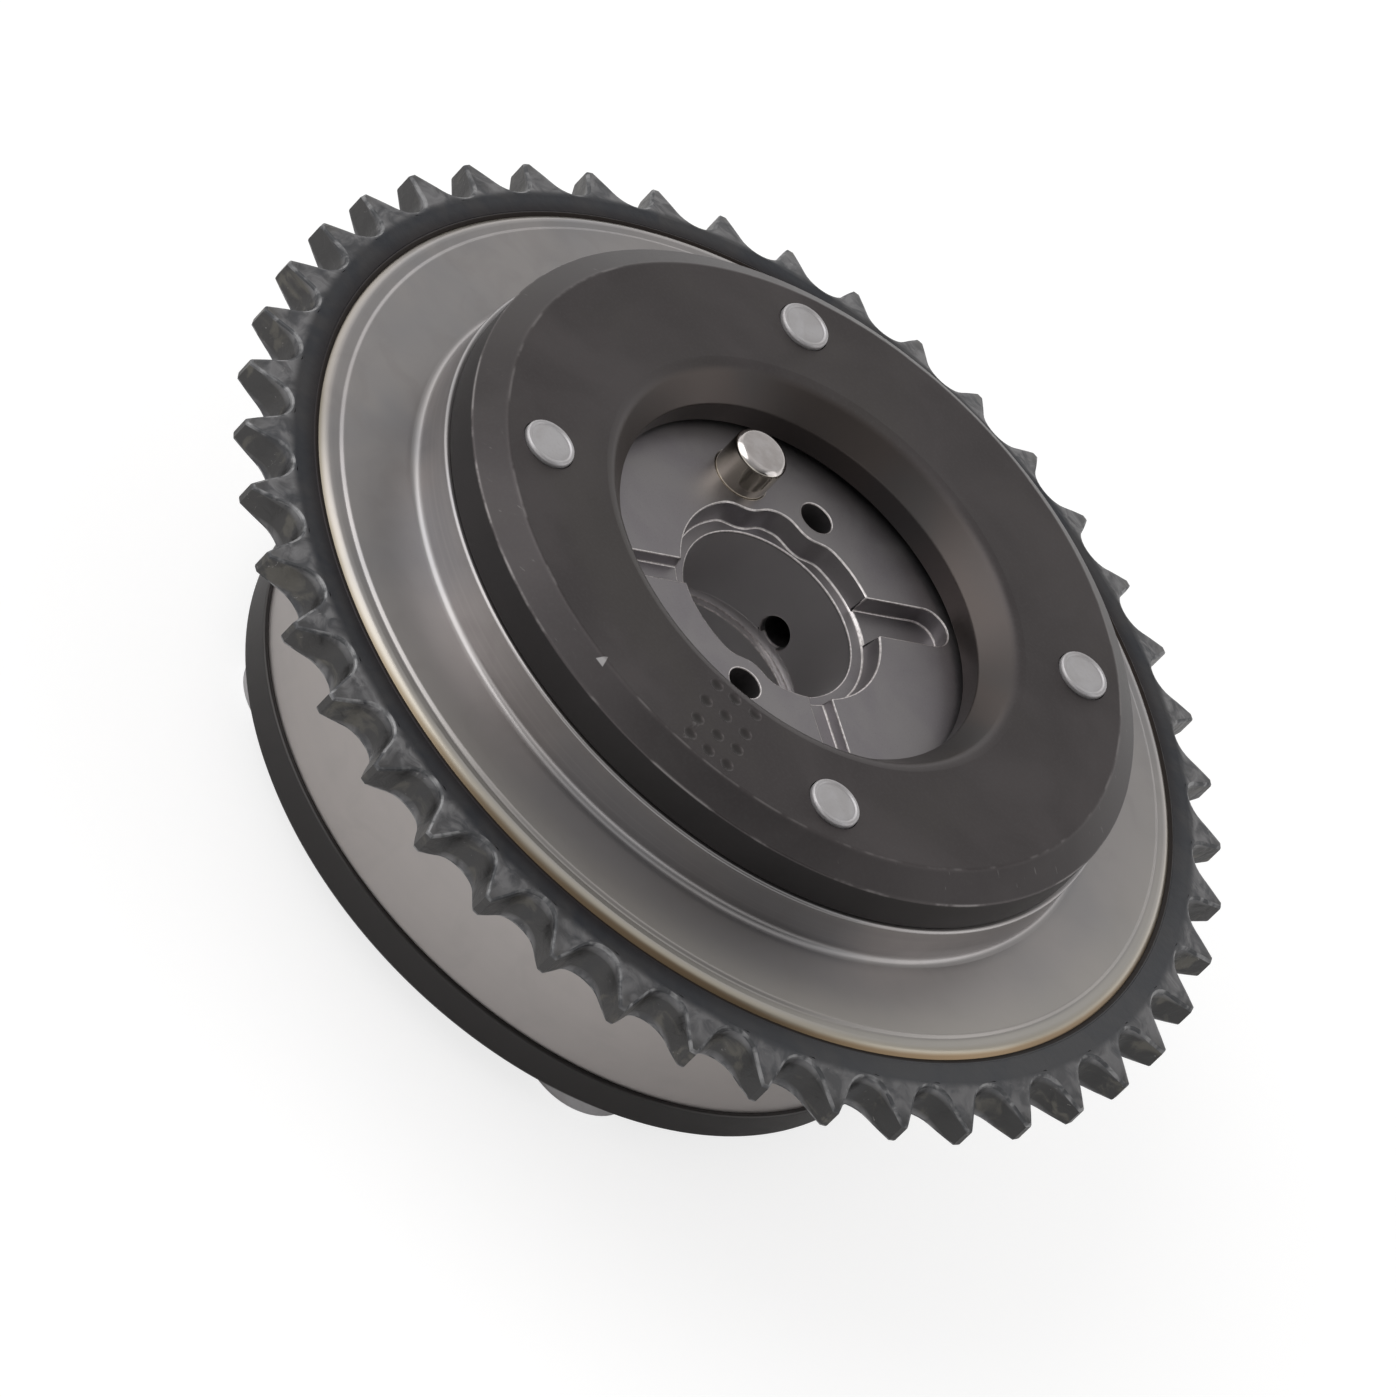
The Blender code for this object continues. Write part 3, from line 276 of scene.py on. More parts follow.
def smooth(piece, limit=SMOOTH_LIMIT):
    """Smooth shading that stops at edges over a limit in degrees.

    A level face with many corners has holes in it, and is shaded flat.
    """
    pick(piece)
    bpy.ops.object.shade_smooth_by_angle(angle=math.radians(limit))
    for face in piece.data.polygons:
        if len(face.vertices) > MANY_CORNERS and abs(face.normal.z) > NEARLY_LEVEL:
            face.use_smooth = False
    apply_modifier(piece, "WEIGHTED_NORMAL", keep_sharp=True)


def ease_rims(piece, width, finish_index=0):
    """Round the rims left by the cuts. The rounding may take a finish of its own."""
    apply_modifier(piece, "BEVEL", width=width, segments=2, limit_method="ANGLE",
                   angle_limit=math.radians(RIM_LIMIT), use_clamp_overlap=False,
                   material=finish_index)


# %% [markdown]
# ## The finishes
# All of the phaser is steel, so what tells its pieces apart is the finish: turned, blackened,
# sintered, ground, or hardened and scaled. Shader maths is written as plain Python: a small class
# wraps a socket, and an expression on such values adds its Math nodes. The class `Nodes` adds any
# other node. Patterns follow each piece's own Object coordinates, in millimetres.

# %% Shader maths in Python
class Value:
    """A socket that can be used in an expression."""

    def __init__(self, nodes, socket):
        self.nodes = nodes
        self.socket = socket

    def math(self, operation, *others):
        return self.nodes.add("ShaderNodeMath", {"operation": operation}, [self, *others])

    def __add__(self, other):
        return self.math("ADD", other)

    __radd__ = __add__

    def __mul__(self, other):
        return self.math("MULTIPLY", other)

    __rmul__ = __mul__

    def __sub__(self, other):
        return self.math("SUBTRACT", other)

    def __rsub__(self, other):
        return self.nodes.add("ShaderNodeMath", {"operation": "SUBTRACT"}, [other, self])

    def ramp(self, low, high):
        """0 up to low, 1 from high on, and a soft step between them."""
        return self.nodes.add("ShaderNodeMapRange", {"interpolation_type": "SMOOTHSTEP"},
                              {"Value": self, "From Min": low, "From Max": high})

    def band(self, centre, half_width):
        """1 at the centre, and 0 from half_width away on."""
        return 1.0 - (self - centre).math("ABSOLUTE").ramp(0.0, half_width)


def in_use(sockets):
    """Mix and other nodes hide the sockets of the kinds of data that they aren't set to."""
    return [socket for socket in sockets if socket.enabled]


class Nodes:
    """The nodes of one material, whose patterns are measured in millimetres."""

    def __init__(self, name):
        self.material = bpy.data.materials.new(name)
        self.material.use_nodes = True
        self.tree = self.material.node_tree
        self.shader = self.tree.nodes["Principled BSDF"]
        place = self.add("ShaderNodeTexCoord", {}, {}, output="Object")
        self.place = self.add("ShaderNodeVectorMath", {"operation": "SCALE"},
                              {"Vector": place, "Scale": 1.0 / MM})
        parts = self.add("ShaderNodeSeparateXYZ", {}, {"Vector": self.place}).socket.node
        self.x, self.y, self.z = (Value(self, socket) for socket in parts.outputs)
        self.radius = (self.x * self.x + self.y * self.y).math("SQRT")
        self.angle = self.y.math("ARCTAN2", self.x)

    def link(self, value, socket):
        """Put a value, or a link to one, into a socket."""
        if isinstance(value, Value):
            self.tree.links.new(value.socket, socket)
        else:
            socket.default_value = value

    def add(self, kind, settings, inputs, output=None):
        """Any node: its settings first, then the values or links of its sockets."""
        node = self.tree.nodes.new(kind)
        for name, setting in settings.items():
            setattr(node, name, setting)
        pairs = inputs.items() if isinstance(inputs, dict) else enumerate(inputs)
        for name, value in pairs:
            self.link(value, node.inputs[name])
        return Value(self, node.outputs[output] if output else in_use(node.outputs)[0])

    def noise(self, scale, detail=2.0, at=None, distortion=0.0):
        """Cloudy noise from 0 to 1, with about `scale` blotches in a millimetre."""
        return self.add("ShaderNodeTexNoise", {"noise_dimensions": "3D"},
                        {"Vector": self.place if at is None else at, "Scale": scale,
                         "Detail": detail, "Distortion": distortion})

    def vector(self, x, y, z):
        return self.add("ShaderNodeCombineXYZ", {}, [x, y, z])

    def mix(self, factor, first, second):
        """Blend two colours, which are tuples or links."""
        node = self.tree.nodes.new("ShaderNodeMix")
        node.data_type = "RGBA"
        for value, socket in zip((factor, padded(first), padded(second)), in_use(node.inputs)):
            self.link(value, socket)
        return Value(self, in_use(node.outputs)[0])

    def coats(self, colour, *coats):
        """Lay coats over a colour in turn. Each is a mask and the colour that it shows at 1."""
        for mask, coat in coats:
            colour = self.mix(mask, colour, coat)
        return colour

    def turning_marks(self, pitch):
        """Fine rings about the axis, as a lathe leaves them, uneven in depth."""
        drift = self.vector(self.radius * (1.0 / pitch), self.z * (1.0 / pitch), self.angle * 0.35)
        return self.noise(1.0, detail=3.0, at=drift)

    def finish(self, colour, roughness, metallic, bump=None, strength=0.1, distance=0.05):
        """Connect the shader. Bump heights are given in millimetres."""
        self.link(padded(colour), self.shader.inputs["Base Color"])
        self.link(roughness, self.shader.inputs["Roughness"])
        self.link(metallic, self.shader.inputs["Metallic"])
        if bump is not None:
            normal = self.add("ShaderNodeBump", {},
                              {"Height": bump, "Strength": strength, "Distance": distance * MM})
            self.link(normal, self.shader.inputs["Normal"])
        return self.material


def padded(colour):
    """A colour tuple with its alpha, or a link as it is."""
    return (*colour, 1.0) if isinstance(colour, tuple) else colour


def grey(level, warmth=0.0):
    """The faintly reddish grey of steel. It leans to brown with warmth, and to blue below zero."""
    return (level * (1.02 + warmth), level * 0.99, level * (1.0 - warmth))


# %% [markdown]
# ### Turned steel
# The housing is bright from the lathe. Its marks run round the axis, and it has slow warm and cool
# patches. On one side the flange face and the rim bevel are painted lighter and the step is
# painted darker, as painted light, painted highlight and painted shade. The heat of the weld has
# left straw, brown and burnt bands at its rim, painted stronger and lighter on that same side,
# partly as painted light. A band or an edge is a pair of radii in millimetres, between which its
# mask goes from 0 to 1.

# %% Turned steel
FRONT_START = FLANGE_FACE_Z / MM - 3.5
WALL_END, FACE_START, FACE_END, BEVEL_START = (40.2, 40.8), (40.4, 41.5), (48.0, 48.6), (48.5, 48.9)
STRAW_BAND, BROWN_BAND, BURNT_BAND = (49.4, 50.3), (50.08, 50.48), (50.42, 50.56)
STEP_MIDDLE, STEP_WIDTH = 48.35, 0.35
HEAT_AND_LIGHT_ANGLE = -0.6


def make_turned_steel():
    n = Nodes("turned_steel")
    rings, coarse = n.turning_marks(0.35), n.turning_marks(2.2)
    patches = n.noise(0.06, detail=3.0, distortion=0.5)
    stains = n.noise(0.22, detail=4.0, distortion=0.8)
    swell = n.noise(0.5, detail=3.0, at=n.vector(n.angle * 6.0, n.radius * 0.05, 1.0))
    on_front = n.z.ramp(FRONT_START, FRONT_START + 1.0)
    on_wall = on_front * (1.0 - n.radius.ramp(*WALL_END))
    on_face = on_front * n.radius.ramp(*FACE_START) * (1.0 - n.radius.ramp(*FACE_END))
    # painted light and shade: on this side the flange and bevel are lighter and the step darker
    heat_and_light_side = (n.angle - HEAT_AND_LIGHT_ANGLE).math("COSINE").ramp(-0.2, 1.0)
    heat_and_light_front = heat_and_light_side * on_front
    reach = n.radius + (swell - 0.5) * 0.5 + heat_and_light_side * 0.25
    straw, brown = (reach.ramp(*band) * on_front for band in (STRAW_BAND, BROWN_BAND))
    dark_by_weld = n.radius.ramp(*BURNT_BAND) * on_front
    colour = n.coats(
        n.mix(patches.ramp(0.35, 0.65), grey(0.380, 0.02), grey(0.338, -0.010)),
        ((1.0 - on_front) * 0.8, grey(0.46, 0.045)),
        (stains.ramp(0.45, 0.75) * (0.14 + on_front * 0.2), grey(0.30, 0.025)),
        (coarse.ramp(0.35, 0.75) * (0.06 + on_wall * 0.3), grey(0.29, 0.02)),
        (rings.ramp(0.45, 0.8) * (0.02 + on_wall * 0.24), grey(0.48, 0.02)),
        # painted light, highlight and shade on one side: lighter face and bevel, darker step
        (on_face * heat_and_light_side * 0.35, grey(0.50, 0.03)),
        (n.radius.ramp(43.0, 48.5) * heat_and_light_front * 0.45, (0.53, 0.505, 0.46)),
        (n.radius.band(STEP_MIDDLE, STEP_WIDTH) * heat_and_light_front * 0.5, grey(0.22, 0.03)),
        (n.radius.ramp(*BEVEL_START) * heat_and_light_front * 0.6, (0.62, 0.595, 0.55)),
        # heat bands, partly painted light: stronger and lighter on the painted-light side
        (straw * (0.3 + heat_and_light_side * 0.3), (0.40, 0.345, 0.245)),
        (brown * (0.7 + heat_and_light_side * 0.2), n.mix(heat_and_light_side, (0.150, 0.128, 0.082), (0.235, 0.160, 0.090))),
        (dark_by_weld * 0.85, (0.040, 0.028, 0.020)))
    roughness = 0.33 + on_face * 0.12 + (patches - 0.5) * 0.08 + (rings - 0.5) * 0.04 + dark_by_weld * 0.25
    return n.finish(colour, roughness, 1.0, bump=rings, strength=0.06, distance=0.02)


turned_steel = make_turned_steel()
print("made", turned_steel.name)

# %% [markdown]
# ### Hardened sprocket steel
# The toothed ring is dark blue grey with a dull, slightly scaly skin. One side of it is painted
# paler as painted light, and there its tooth gaps are painted darker as painted shade. The facets
# of the teeth are scuffed lighter and their edges are worn to bare metal in places. The tooth gaps
# have patches that the chain has polished, and small glints of bare metal. Next to the weld, away
# from the painted-light side, the ring is darker.

# %% Sprocket steel
ROOT = 53.52
BEAD_END, DARK_BY_WELD_END = (50.8, 51.0), (50.9, 52.6)
FACET_START, GAP_END = (1.15, 1.35), (1.1, 1.9)
PAINTED_LIGHT_ANGLE = -0.1


def make_sprocket_steel():
    n = Nodes("sprocket_steel")
    scale = n.noise(0.9, detail=4.0)
    blotch = n.noise(0.16, detail=3.0, distortion=0.8)
    wear = n.noise(0.45, detail=4.0, distortion=0.9)
    middle = (n.z - (SPROCKET_Z + SPROCKET_TOP_Z) / 2 / MM).math("ABSOLUTE")
    on_teeth = n.radius.ramp(ROOT - 0.5, ROOT + 0.3)
    facet = middle.ramp(*FACET_START) * on_teeth
    gap = (1.0 - middle.ramp(*GAP_END)) * on_teeth
    # painted light and shade: one side of the ring is painted paler, and its tooth gaps darker
    painted_light_side = (n.angle - PAINTED_LIGHT_ANGLE).math("COSINE").ramp(0.4, 1.0)
    polished = gap * n.noise(0.35, detail=4.0, distortion=0.8).ramp(0.54, 0.68)
    glints = n.noise(1.3, detail=5.0, distortion=1.5).ramp(0.68, 0.76) * on_teeth
    # darker next to the weld, away from the painted-light side
    dark_by_weld = (1.0 - n.radius.ramp(*DARK_BY_WELD_END)) * (1.0 - painted_light_side)
    colour = n.coats(
        n.mix(blotch.ramp(0.35, 0.65), (0.050, 0.053, 0.061), (0.070, 0.069, 0.072)),
        (scale.ramp(0.4, 0.8) * 0.25, (0.095, 0.096, 0.099)),
        # painted light: one side of the ring is paler
        (painted_light_side * 0.4, (0.154, 0.158, 0.166)),
        (facet * (0.2 + wear.ramp(0.35, 0.65) * 0.7), (0.225, 0.223, 0.228)),
        # painted shade: the tooth gaps are darker on the painted-light side
        (gap * 0.85, n.mix(painted_light_side, (0.082, 0.080, 0.079), (0.058, 0.057, 0.056))),
        (polished * 0.4, (0.200, 0.188, 0.160)),
        (dark_by_weld * 0.7, (0.026, 0.021, 0.022)),
        ((1.0 - n.radius.ramp(*BEAD_END)) * 0.85, (0.024, 0.018, 0.015)),
        (glints * 0.5, (0.36, 0.35, 0.34)))
    roughness = 0.5 + (scale - 0.5) * 0.2 - gap * 0.1 - glints * 0.2
    skin = scale * 0.4 + wear * on_teeth * 1.6
    return n.finish(colour, roughness, 0.85, bump=skin, strength=0.5, distance=0.2)


def make_worn_edge():
    n = Nodes("worn_edge")
    wear = n.noise(0.6, detail=4.0, distortion=0.5)
    colour = n.mix(wear.ramp(0.40, 0.66), (0.095, 0.097, 0.102), (0.30, 0.30, 0.305))
    return n.finish(colour, 0.52 - (wear - 0.5) * 0.2, 0.9)


sprocket_steel = make_sprocket_steel()
worn_edge = make_worn_edge()
print("made", sprocket_steel.name, worn_edge.name)

# %% [markdown]
# ### Blackened plate
# Both covers are black oxided and oiled: dark, satin, with cloudy brown and green patches. The
# coating has rubbed off in short nicks along the edges and in fine scratches on the bevel. The
# masks find those by their radius and their depth below the top. A small bright triangle marks the
# timing. The front cover's side is darker. The rear cover is painted darker, as painted shade of
# the shadowed floor that it mirrors, and the punch marks are painted darker, as painted shade in
# their dimples.

# %% Blackened plate
COVER_RIM, COVER_FLAT_RIM, MOUTH_RIM = 39.2, 36.2, 23.9
BEVEL_DEPTH = 1.9
MARK_ANGLE, MARK_TIP, MARK_BASE = 268.9, 35.8, 36.8


def make_blackened_steel():
    n = Nodes("blackened_steel")
    clouds = n.noise(0.07, detail=4.0, distortion=0.7)
    tint = n.noise(0.045, detail=2.0, distortion=0.5)
    grain = n.noise(3.0, detail=3.0)
    stretch = n.noise(0.8, detail=4.0, at=n.vector(n.angle * 12.0, n.z * 0.4, 3.0))
    hairs = n.noise(1.0, detail=5.0, at=n.vector(n.x * 0.5, n.y * 2.4, n.z))
    level = n.z - COVER_TOP_Z / MM
    on_side = n.radius.ramp(39.0, 39.15) * (1.0 - level.ramp(-2.15, -1.95))
    on_bevel = n.radius.ramp(COVER_FLAT_RIM, COVER_FLAT_RIM + 0.4) * level.ramp(-2.0, -1.7)
    # painted shade: the rear cover is darker, for the shadowed floor that it mirrors
    rear_painted_shade = 1.0 - n.z.ramp(8.0, 12.0)
    in_mouth = 1.0 - n.radius.ramp(MOUTH_RIM - 0.6, MOUTH_RIM + 0.2)
    # painted shade: the punch marks are darker in their dimples
    pit_painted_shade = (n.radius.ramp(25.0, 25.5) * (1.0 - n.radius.ramp(35.0, 35.5))
            * (1.0 - level.ramp(-0.14, -0.02)))
    side_edge = n.radius.band(COVER_RIM, 0.2) * level.band(-BEVEL_DEPTH, 0.28)
    flat_edge = n.radius.band(COVER_FLAT_RIM, 0.2) * level.ramp(-0.3, -0.1)
    nicks = (side_edge * 0.7 + flat_edge * 0.35) * stretch.ramp(0.5, 0.62)
    scratches = on_bevel * hairs.ramp(0.68, 0.76) * 0.25
    aim = polar(1.0, MARK_ANGLE)
    outwards = n.x * aim.x + n.y * aim.y
    off_line = (n.y * aim.x - n.x * aim.y).math("ABSOLUTE")
    mark = (((outwards - MARK_TIP) * 0.5 - off_line).ramp(-0.05, 0.05)
            * (1.0 - outwards.ramp(MARK_BASE, MARK_BASE + 0.1)) * n.z.ramp(40.0, 41.0))
    colour = n.coats(
        n.mix(clouds.ramp(0.3, 0.7), (0.074, 0.066, 0.067), (0.099, 0.089, 0.090)),
        (tint.ramp(0.45, 0.7) * 0.5, (0.092, 0.085, 0.080)),
        (grain.ramp(0.4, 0.8) * 0.15, grey(0.135)),
        (on_side * 0.75, grey(0.034)),
        (in_mouth * 0.85, n.mix(tint.ramp(0.35, 0.6), grey(0.064, 0.02), (0.082, 0.069, 0.064))),
        # painted shade in the punch marks
        (pit_painted_shade * 0.6, grey(0.040, 0.05)),
        (on_bevel * 0.35, grey(0.03)),
        ((nicks + scratches).math("MINIMUM", 1.0) * 0.7, grey(0.40, 0.02)),
        (mark * 0.8, grey(0.42)),
        # painted shade on the rear cover
        (rear_painted_shade * 0.8, grey(0.056, 0.02)))
    roughness = 0.43 + (clouds - 0.5) * 0.16 + (grain - 0.5) * 0.08
    return n.finish(colour, roughness, 0.9, bump=grain, strength=0.06, distance=0.03)


blackened_steel = make_blackened_steel()
print("made", blackened_steel.name)

# %% [markdown]
# ### Rotor, rivets and pins
# The rotor is sintered and ground flat, a mid grey with a very fine grain. Its rims take a much
# lighter finish, partly where the grinding wheel broke over them and partly as painted highlight.
# Its machined bore is painted lighter too, partly as bare metal and partly as painted light. The
# rivet ends are matt and light. The dowel pin is ground and polished, so it mirrors its
# surroundings, and its side is painted a straw tint as a painted reflection.

# %% Rotor, rivet and pin steels
BORE_WALL = (10.75, 10.85)
RECESS_FLOOR = (ROTOR_TOP_Z - RECESS_DEPTH) / MM
DOWEL_TIP = DOWEL_TOP_Z / MM


def make_rotor_steel():
    n = Nodes("rotor_steel")
    grain = n.noise(5.0, detail=3.0)
    patches = n.noise(0.13, detail=3.0, distortion=0.6)
    pores = n.noise(7.0, detail=1.0).ramp(0.66, 0.74)
    below_recess = 1.0 - n.z.ramp(RECESS_FLOOR - 0.4, RECESS_FLOOR - 0.1)
    colour = n.coats(
        n.mix(patches.ramp(0.3, 0.7), (0.290, 0.272, 0.288), (0.330, 0.314, 0.320)),
        (grain.ramp(0.4, 0.8) * 0.3, (0.36, 0.354, 0.364)),
        (pores * 0.3, grey(0.14)),
        # painted light: the bore wall below the recess is much lighter, partly bare machined metal
        ((1.0 - n.radius.ramp(*BORE_WALL)) * below_recess, grey(0.66)))
    roughness = 0.42 + (grain - 0.5) * 0.14 + (patches - 0.5) * 0.1
    return n.finish(colour, roughness, 1.0, bump=grain, strength=0.12, distance=0.03)


def make_rim_wear_and_highlight():
    # painted highlight and wear: the eased rims of the rotor are much lighter than its face
    n = Nodes("rim_wear_and_highlight")
    grain = n.noise(2.4, detail=4.0)
    colour = n.mix(grain.ramp(0.35, 0.65), grey(0.62, 0.02), grey(0.86, 0.02))
    return n.finish(colour, 0.34 + (grain - 0.5) * 0.2, 1.0)


def make_rivet_steel():
    n = Nodes("rivet_steel")
    grain = n.noise(3.2, detail=4.0)
    patches = n.noise(0.35, detail=3.0, distortion=0.5)
    colour = n.coats(
        n.mix(patches.ramp(0.3, 0.7), grey(0.47), grey(0.54, -0.012)),
        (grain.ramp(0.55, 0.8) * 0.3, grey(0.42, 0.02)))
    return n.finish(colour, 0.5 + (grain - 0.5) * 0.2, 0.8, bump=grain, strength=0.2)


def make_ground_steel():
    n = Nodes("ground_steel")
    marks = n.noise(1.0, detail=3.0, at=n.vector(n.x * 0.8, n.y * 0.8, n.z * 9.0))
    patches = n.noise(0.3, detail=2.0)
    colour = n.coats(
        n.mix(marks.ramp(0.35, 0.7), grey(0.56, 0.035), grey(0.64, 0.02)),
        (patches.ramp(0.5, 0.8) * 0.3, grey(0.45, 0.05)),
        # painted reflection: the pin's side below its tip gets a warm straw tint
        ((1.0 - n.z.ramp(DOWEL_TIP - 0.7, DOWEL_TIP - 0.35)) * 0.7, (0.50, 0.455, 0.355)))
    return n.finish(colour, 0.17 + (marks - 0.5) * 0.1, 1.0, bump=marks, strength=0.08,
                    distance=0.02)


rotor_steel = make_rotor_steel()
rim_wear_and_highlight = make_rim_wear_and_highlight()
rivet_steel = make_rivet_steel()
ground_steel = make_ground_steel()
print("made", rotor_steel.name, rim_wear_and_highlight.name, rivet_steel.name, ground_steel.name)

# %% [markdown]
# ### Finishes of the inner pieces
# The seals, their leaf springs, the lock pin, its bush and its spring's seat are inside, and their
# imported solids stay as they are. They still get a finish each, because they show when the phaser
# is open. The lock pin's spring is made anew further down.

# %% Seal polymer and spring steel
def make_seal_polymer():
    n = Nodes("seal_polymer")
    flow = n.noise(0.6, detail=4.0, distortion=1.2)
    colour = n.mix(flow.ramp(0.3, 0.7), (0.060, 0.050, 0.042), (0.085, 0.072, 0.060))
    return n.finish(colour, 0.48 + (flow - 0.5) * 0.2, 0.0, bump=flow, strength=0.1)


def make_spring_steel():
    n = Nodes("spring_steel")
    marks = n.noise(1.0, detail=3.0, at=n.vector(n.x * 2.0, n.y * 2.0, n.z * 0.5))
    colour = n.mix(marks.ramp(0.3, 0.7), (0.33, 0.34, 0.36), (0.42, 0.42, 0.43))
    return n.finish(colour, 0.3 + (marks - 0.5) * 0.15, 1.0, bump=marks, strength=0.08)


seal_polymer = make_seal_polymer()
spring_steel = make_spring_steel()
INNER_FINISHES = {
    "lock_bush": ground_steel, "lock_pin": ground_steel, "lock_spring_seat": rivet_steel,
}
for kind in ("web", "vane"):
    for number in range(1, 5):
        INNER_FINISHES[f"{kind}_seal_{number}"] = seal_polymer
        INNER_FINISHES[f"{kind}_seal_spring_{number}"] = spring_steel
for name, material in INNER_FINISHES.items():
    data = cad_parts[name].data
    data.materials.clear()
    data.materials.append(material)
print(len(INNER_FINISHES), "inner nodes have a finish")


# %% [markdown]
# ## Handing a piece over
# A finished piece gets its finish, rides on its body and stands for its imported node, if it has one.

# %% Hand over
def hand_over(piece, body, node, slot, *materials, limit=SMOOTH_LIMIT):
    """Shade a piece, give it its finishes and let it stand for its node."""
    for material in materials:
        if material.name not in piece.data.materials:
            piece.data.materials.append(material)
    smooth(piece, limit)
    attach(piece, body)
    if node:
        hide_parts(node)
    print(piece.name, "has", len(piece.data.polygons), "faces")

# %% [markdown]
# ## The housing
# Drum, flange and nose are turned in one piece. The section follows the photograph: a fillet where
# the flange meets the drum, a shallow step and a bevel at its rim, and a fillet at the foot of the
# nose. The four oil chambers are broached through it. The lathe's steps are turned by half a step,
# so that none of its edges runs along the side of a web.

# %% Housing section
DRUM_RADIUS, NOSE_RADIUS, FLANGE_RADIUS = 39.4 * MM, 39.7 * MM, 50.6 * MM
FLANGE_REAR_Z = FLANGE_FACE_Z - 5.7 * MM
REAR_FILLET, NOSE_FILLET, STEP_DEPTH = 1.5 * MM, 0.8 * MM, 0.3 * MM


def quarter(centre, radius, start, end, steps=6):
    """Points of a fillet between two angles in degrees."""
    points = []
    for step in range(steps + 1):
        angle = math.radians(start + (end - start) * step / steps)
        points.append((centre[0] + radius * math.cos(angle), centre[1] + radius * math.sin(angle)))
    return points


rear_fillet = quarter((DRUM_RADIUS + REAR_FILLET, FLANGE_REAR_Z - REAR_FILLET),
                      REAR_FILLET, 180.0, 90.0)
nose_fillet = quarter((NOSE_RADIUS + NOSE_FILLET, FLANGE_FACE_Z + NOSE_FILLET),
                      NOSE_FILLET, 270.0, 180.0)
rim = eased([
    (FLANGE_RADIUS, FLANGE_REAR_Z),
    (FLANGE_RADIUS, FLANGE_FACE_Z - 1.16 * MM),
    (FLANGE_RADIUS - 0.9 * MM, FLANGE_FACE_Z - STEP_DEPTH, 0.45 * MM),
    (FLANGE_RADIUS - 2.1 * MM, FLANGE_FACE_Z - STEP_DEPTH),
    (FLANGE_RADIUS - 2.4 * MM, FLANGE_FACE_Z),
    (NOSE_RADIUS + 2.0 * MM, FLANGE_FACE_Z),
    (NOSE_RADIUS + 2.0 * MM, FLANGE_REAR_Z),
], 0.12 * MM)
rim_points = [point for point in rim if point.x > NOSE_RADIUS + 2.5 * MM]
ends = eased([
    (0.0, REAR_TOP_Z),
    (DRUM_RADIUS, REAR_TOP_Z),
    (DRUM_RADIUS, FLANGE_REAR_Z - 3.0 * MM),
    (NOSE_RADIUS, FLANGE_FACE_Z + 2.0 * MM),
    (NOSE_RADIUS, COVER_Z - 0.2 * MM),
    (NOSE_RADIUS - 0.2 * MM, COVER_Z),
    (0.0, COVER_Z),
], 0.1 * MM)
low_end = [point for point in ends if point[1] < HOUSING_Z + 2.0 * MM]
high_end = [point for point in ends if point[1] > HOUSING_TOP_Z - 2.0 * MM]
housing_section = low_end + rear_fillet + rim_points + nose_fillet + high_end
print("housing section:", len(housing_section), "points")

# %% Housing
RIM_STEPS, HALF_STEP = 256, 0.7
WEB_ANGLES = (45.0, 135.0, 225.0, 315.0)
RIVET_CIRCLE, RIVET_HOLE_RADIUS = 31.6 * MM, 2.86 * MM
RIVET_CENTRES = [polar(RIVET_CIRCLE, angle) for angle in WEB_ANGLES]
HUB_RADIUS, CHAMBER_RADIUS, CHAMBER_FILLET = 22.5 * MM, 35.5 * MM, 1.6 * MM
WEB_TIP_RADIUS, WEB_SLOT_FLOOR, SEAL_SLOT_HALF_WIDTH = 23.0 * MM, 26.8 * MM, 1.3 * MM
VANE_HALF_ANGLE, HALF_TRAVEL, END_GAP = 11.5, 14.0, math.degrees(0.35 / 22.5)
CHAMBER_HALF_ANGLE = VANE_HALF_ANGLE + HALF_TRAVEL + END_GAP


def arc(radius, start, end, step):
    """Points along an arc about the axis, both ends included."""
    count = max(1, math.ceil(abs(end - start) / step - 1e-6))
    return [polar(radius, start + (end - start) * index / count) for index in range(count + 1)]


def across(point, degrees, half_width):
    """The points to the right and to the left of a point, seen along a direction."""
    return [point + polar(distance, degrees + 90.0) for distance in (-half_width, half_width)]


def chamber_outline():
    """Four chambers, the room of the hub and the seal slots in the webs."""
    web_half = 45.0 - CHAMBER_HALF_ANGLE
    centre_radius = CHAMBER_RADIUS - CHAMBER_FILLET
    turn = math.degrees(math.asin(CHAMBER_FILLET / centre_radius))
    slot_turn = math.degrees(math.asin(SEAL_SLOT_HALF_WIDTH / WEB_TIP_RADIUS))
    outline = []
    for web in WEB_ANGLES:
        side, next_side = web + web_half, web + 90.0 - web_half
        outline += arc(WEB_TIP_RADIUS, web - web_half, web - slot_turn, 2.0)
        outline += across(polar(WEB_SLOT_FLOOR, web), web, SEAL_SLOT_HALF_WIDTH)
        outline += arc(WEB_TIP_RADIUS, web + slot_turn, side, 2.0)
        corner = polar(centre_radius, side + turn)
        outline += [corner + point for point in arc(CHAMBER_FILLET, side - 90.0, side + turn, 15.0)]
        outline += arc(CHAMBER_RADIUS, side + turn, next_side - turn, 2.0)[1:-1]
        corner = polar(centre_radius, next_side - turn)
        outline += [corner + point
                    for point in arc(CHAMBER_FILLET, next_side - turn, next_side + 90.0, 15.0)]
    return outline


housing = lathe("turned_housing", housing_section, RIM_STEPS)
housing.data.transform(Matrix.Rotation(math.radians(HALF_STEP), 4, "Z"))
carve(housing,
      prism("chambers", chamber_outline(), HOUSING_Z - OVERRUN, HOUSING_TOP_Z + OVERRUN),
      rods("housing_rivet_holes", RIVET_CENTRES, RIVET_HOLE_RADIUS,
           HOUSING_Z - OVERRUN, HOUSING_TOP_Z + OVERRUN, 32))
hand_over(housing, "stator", "stator_housing", "turned_steel", turned_steel)

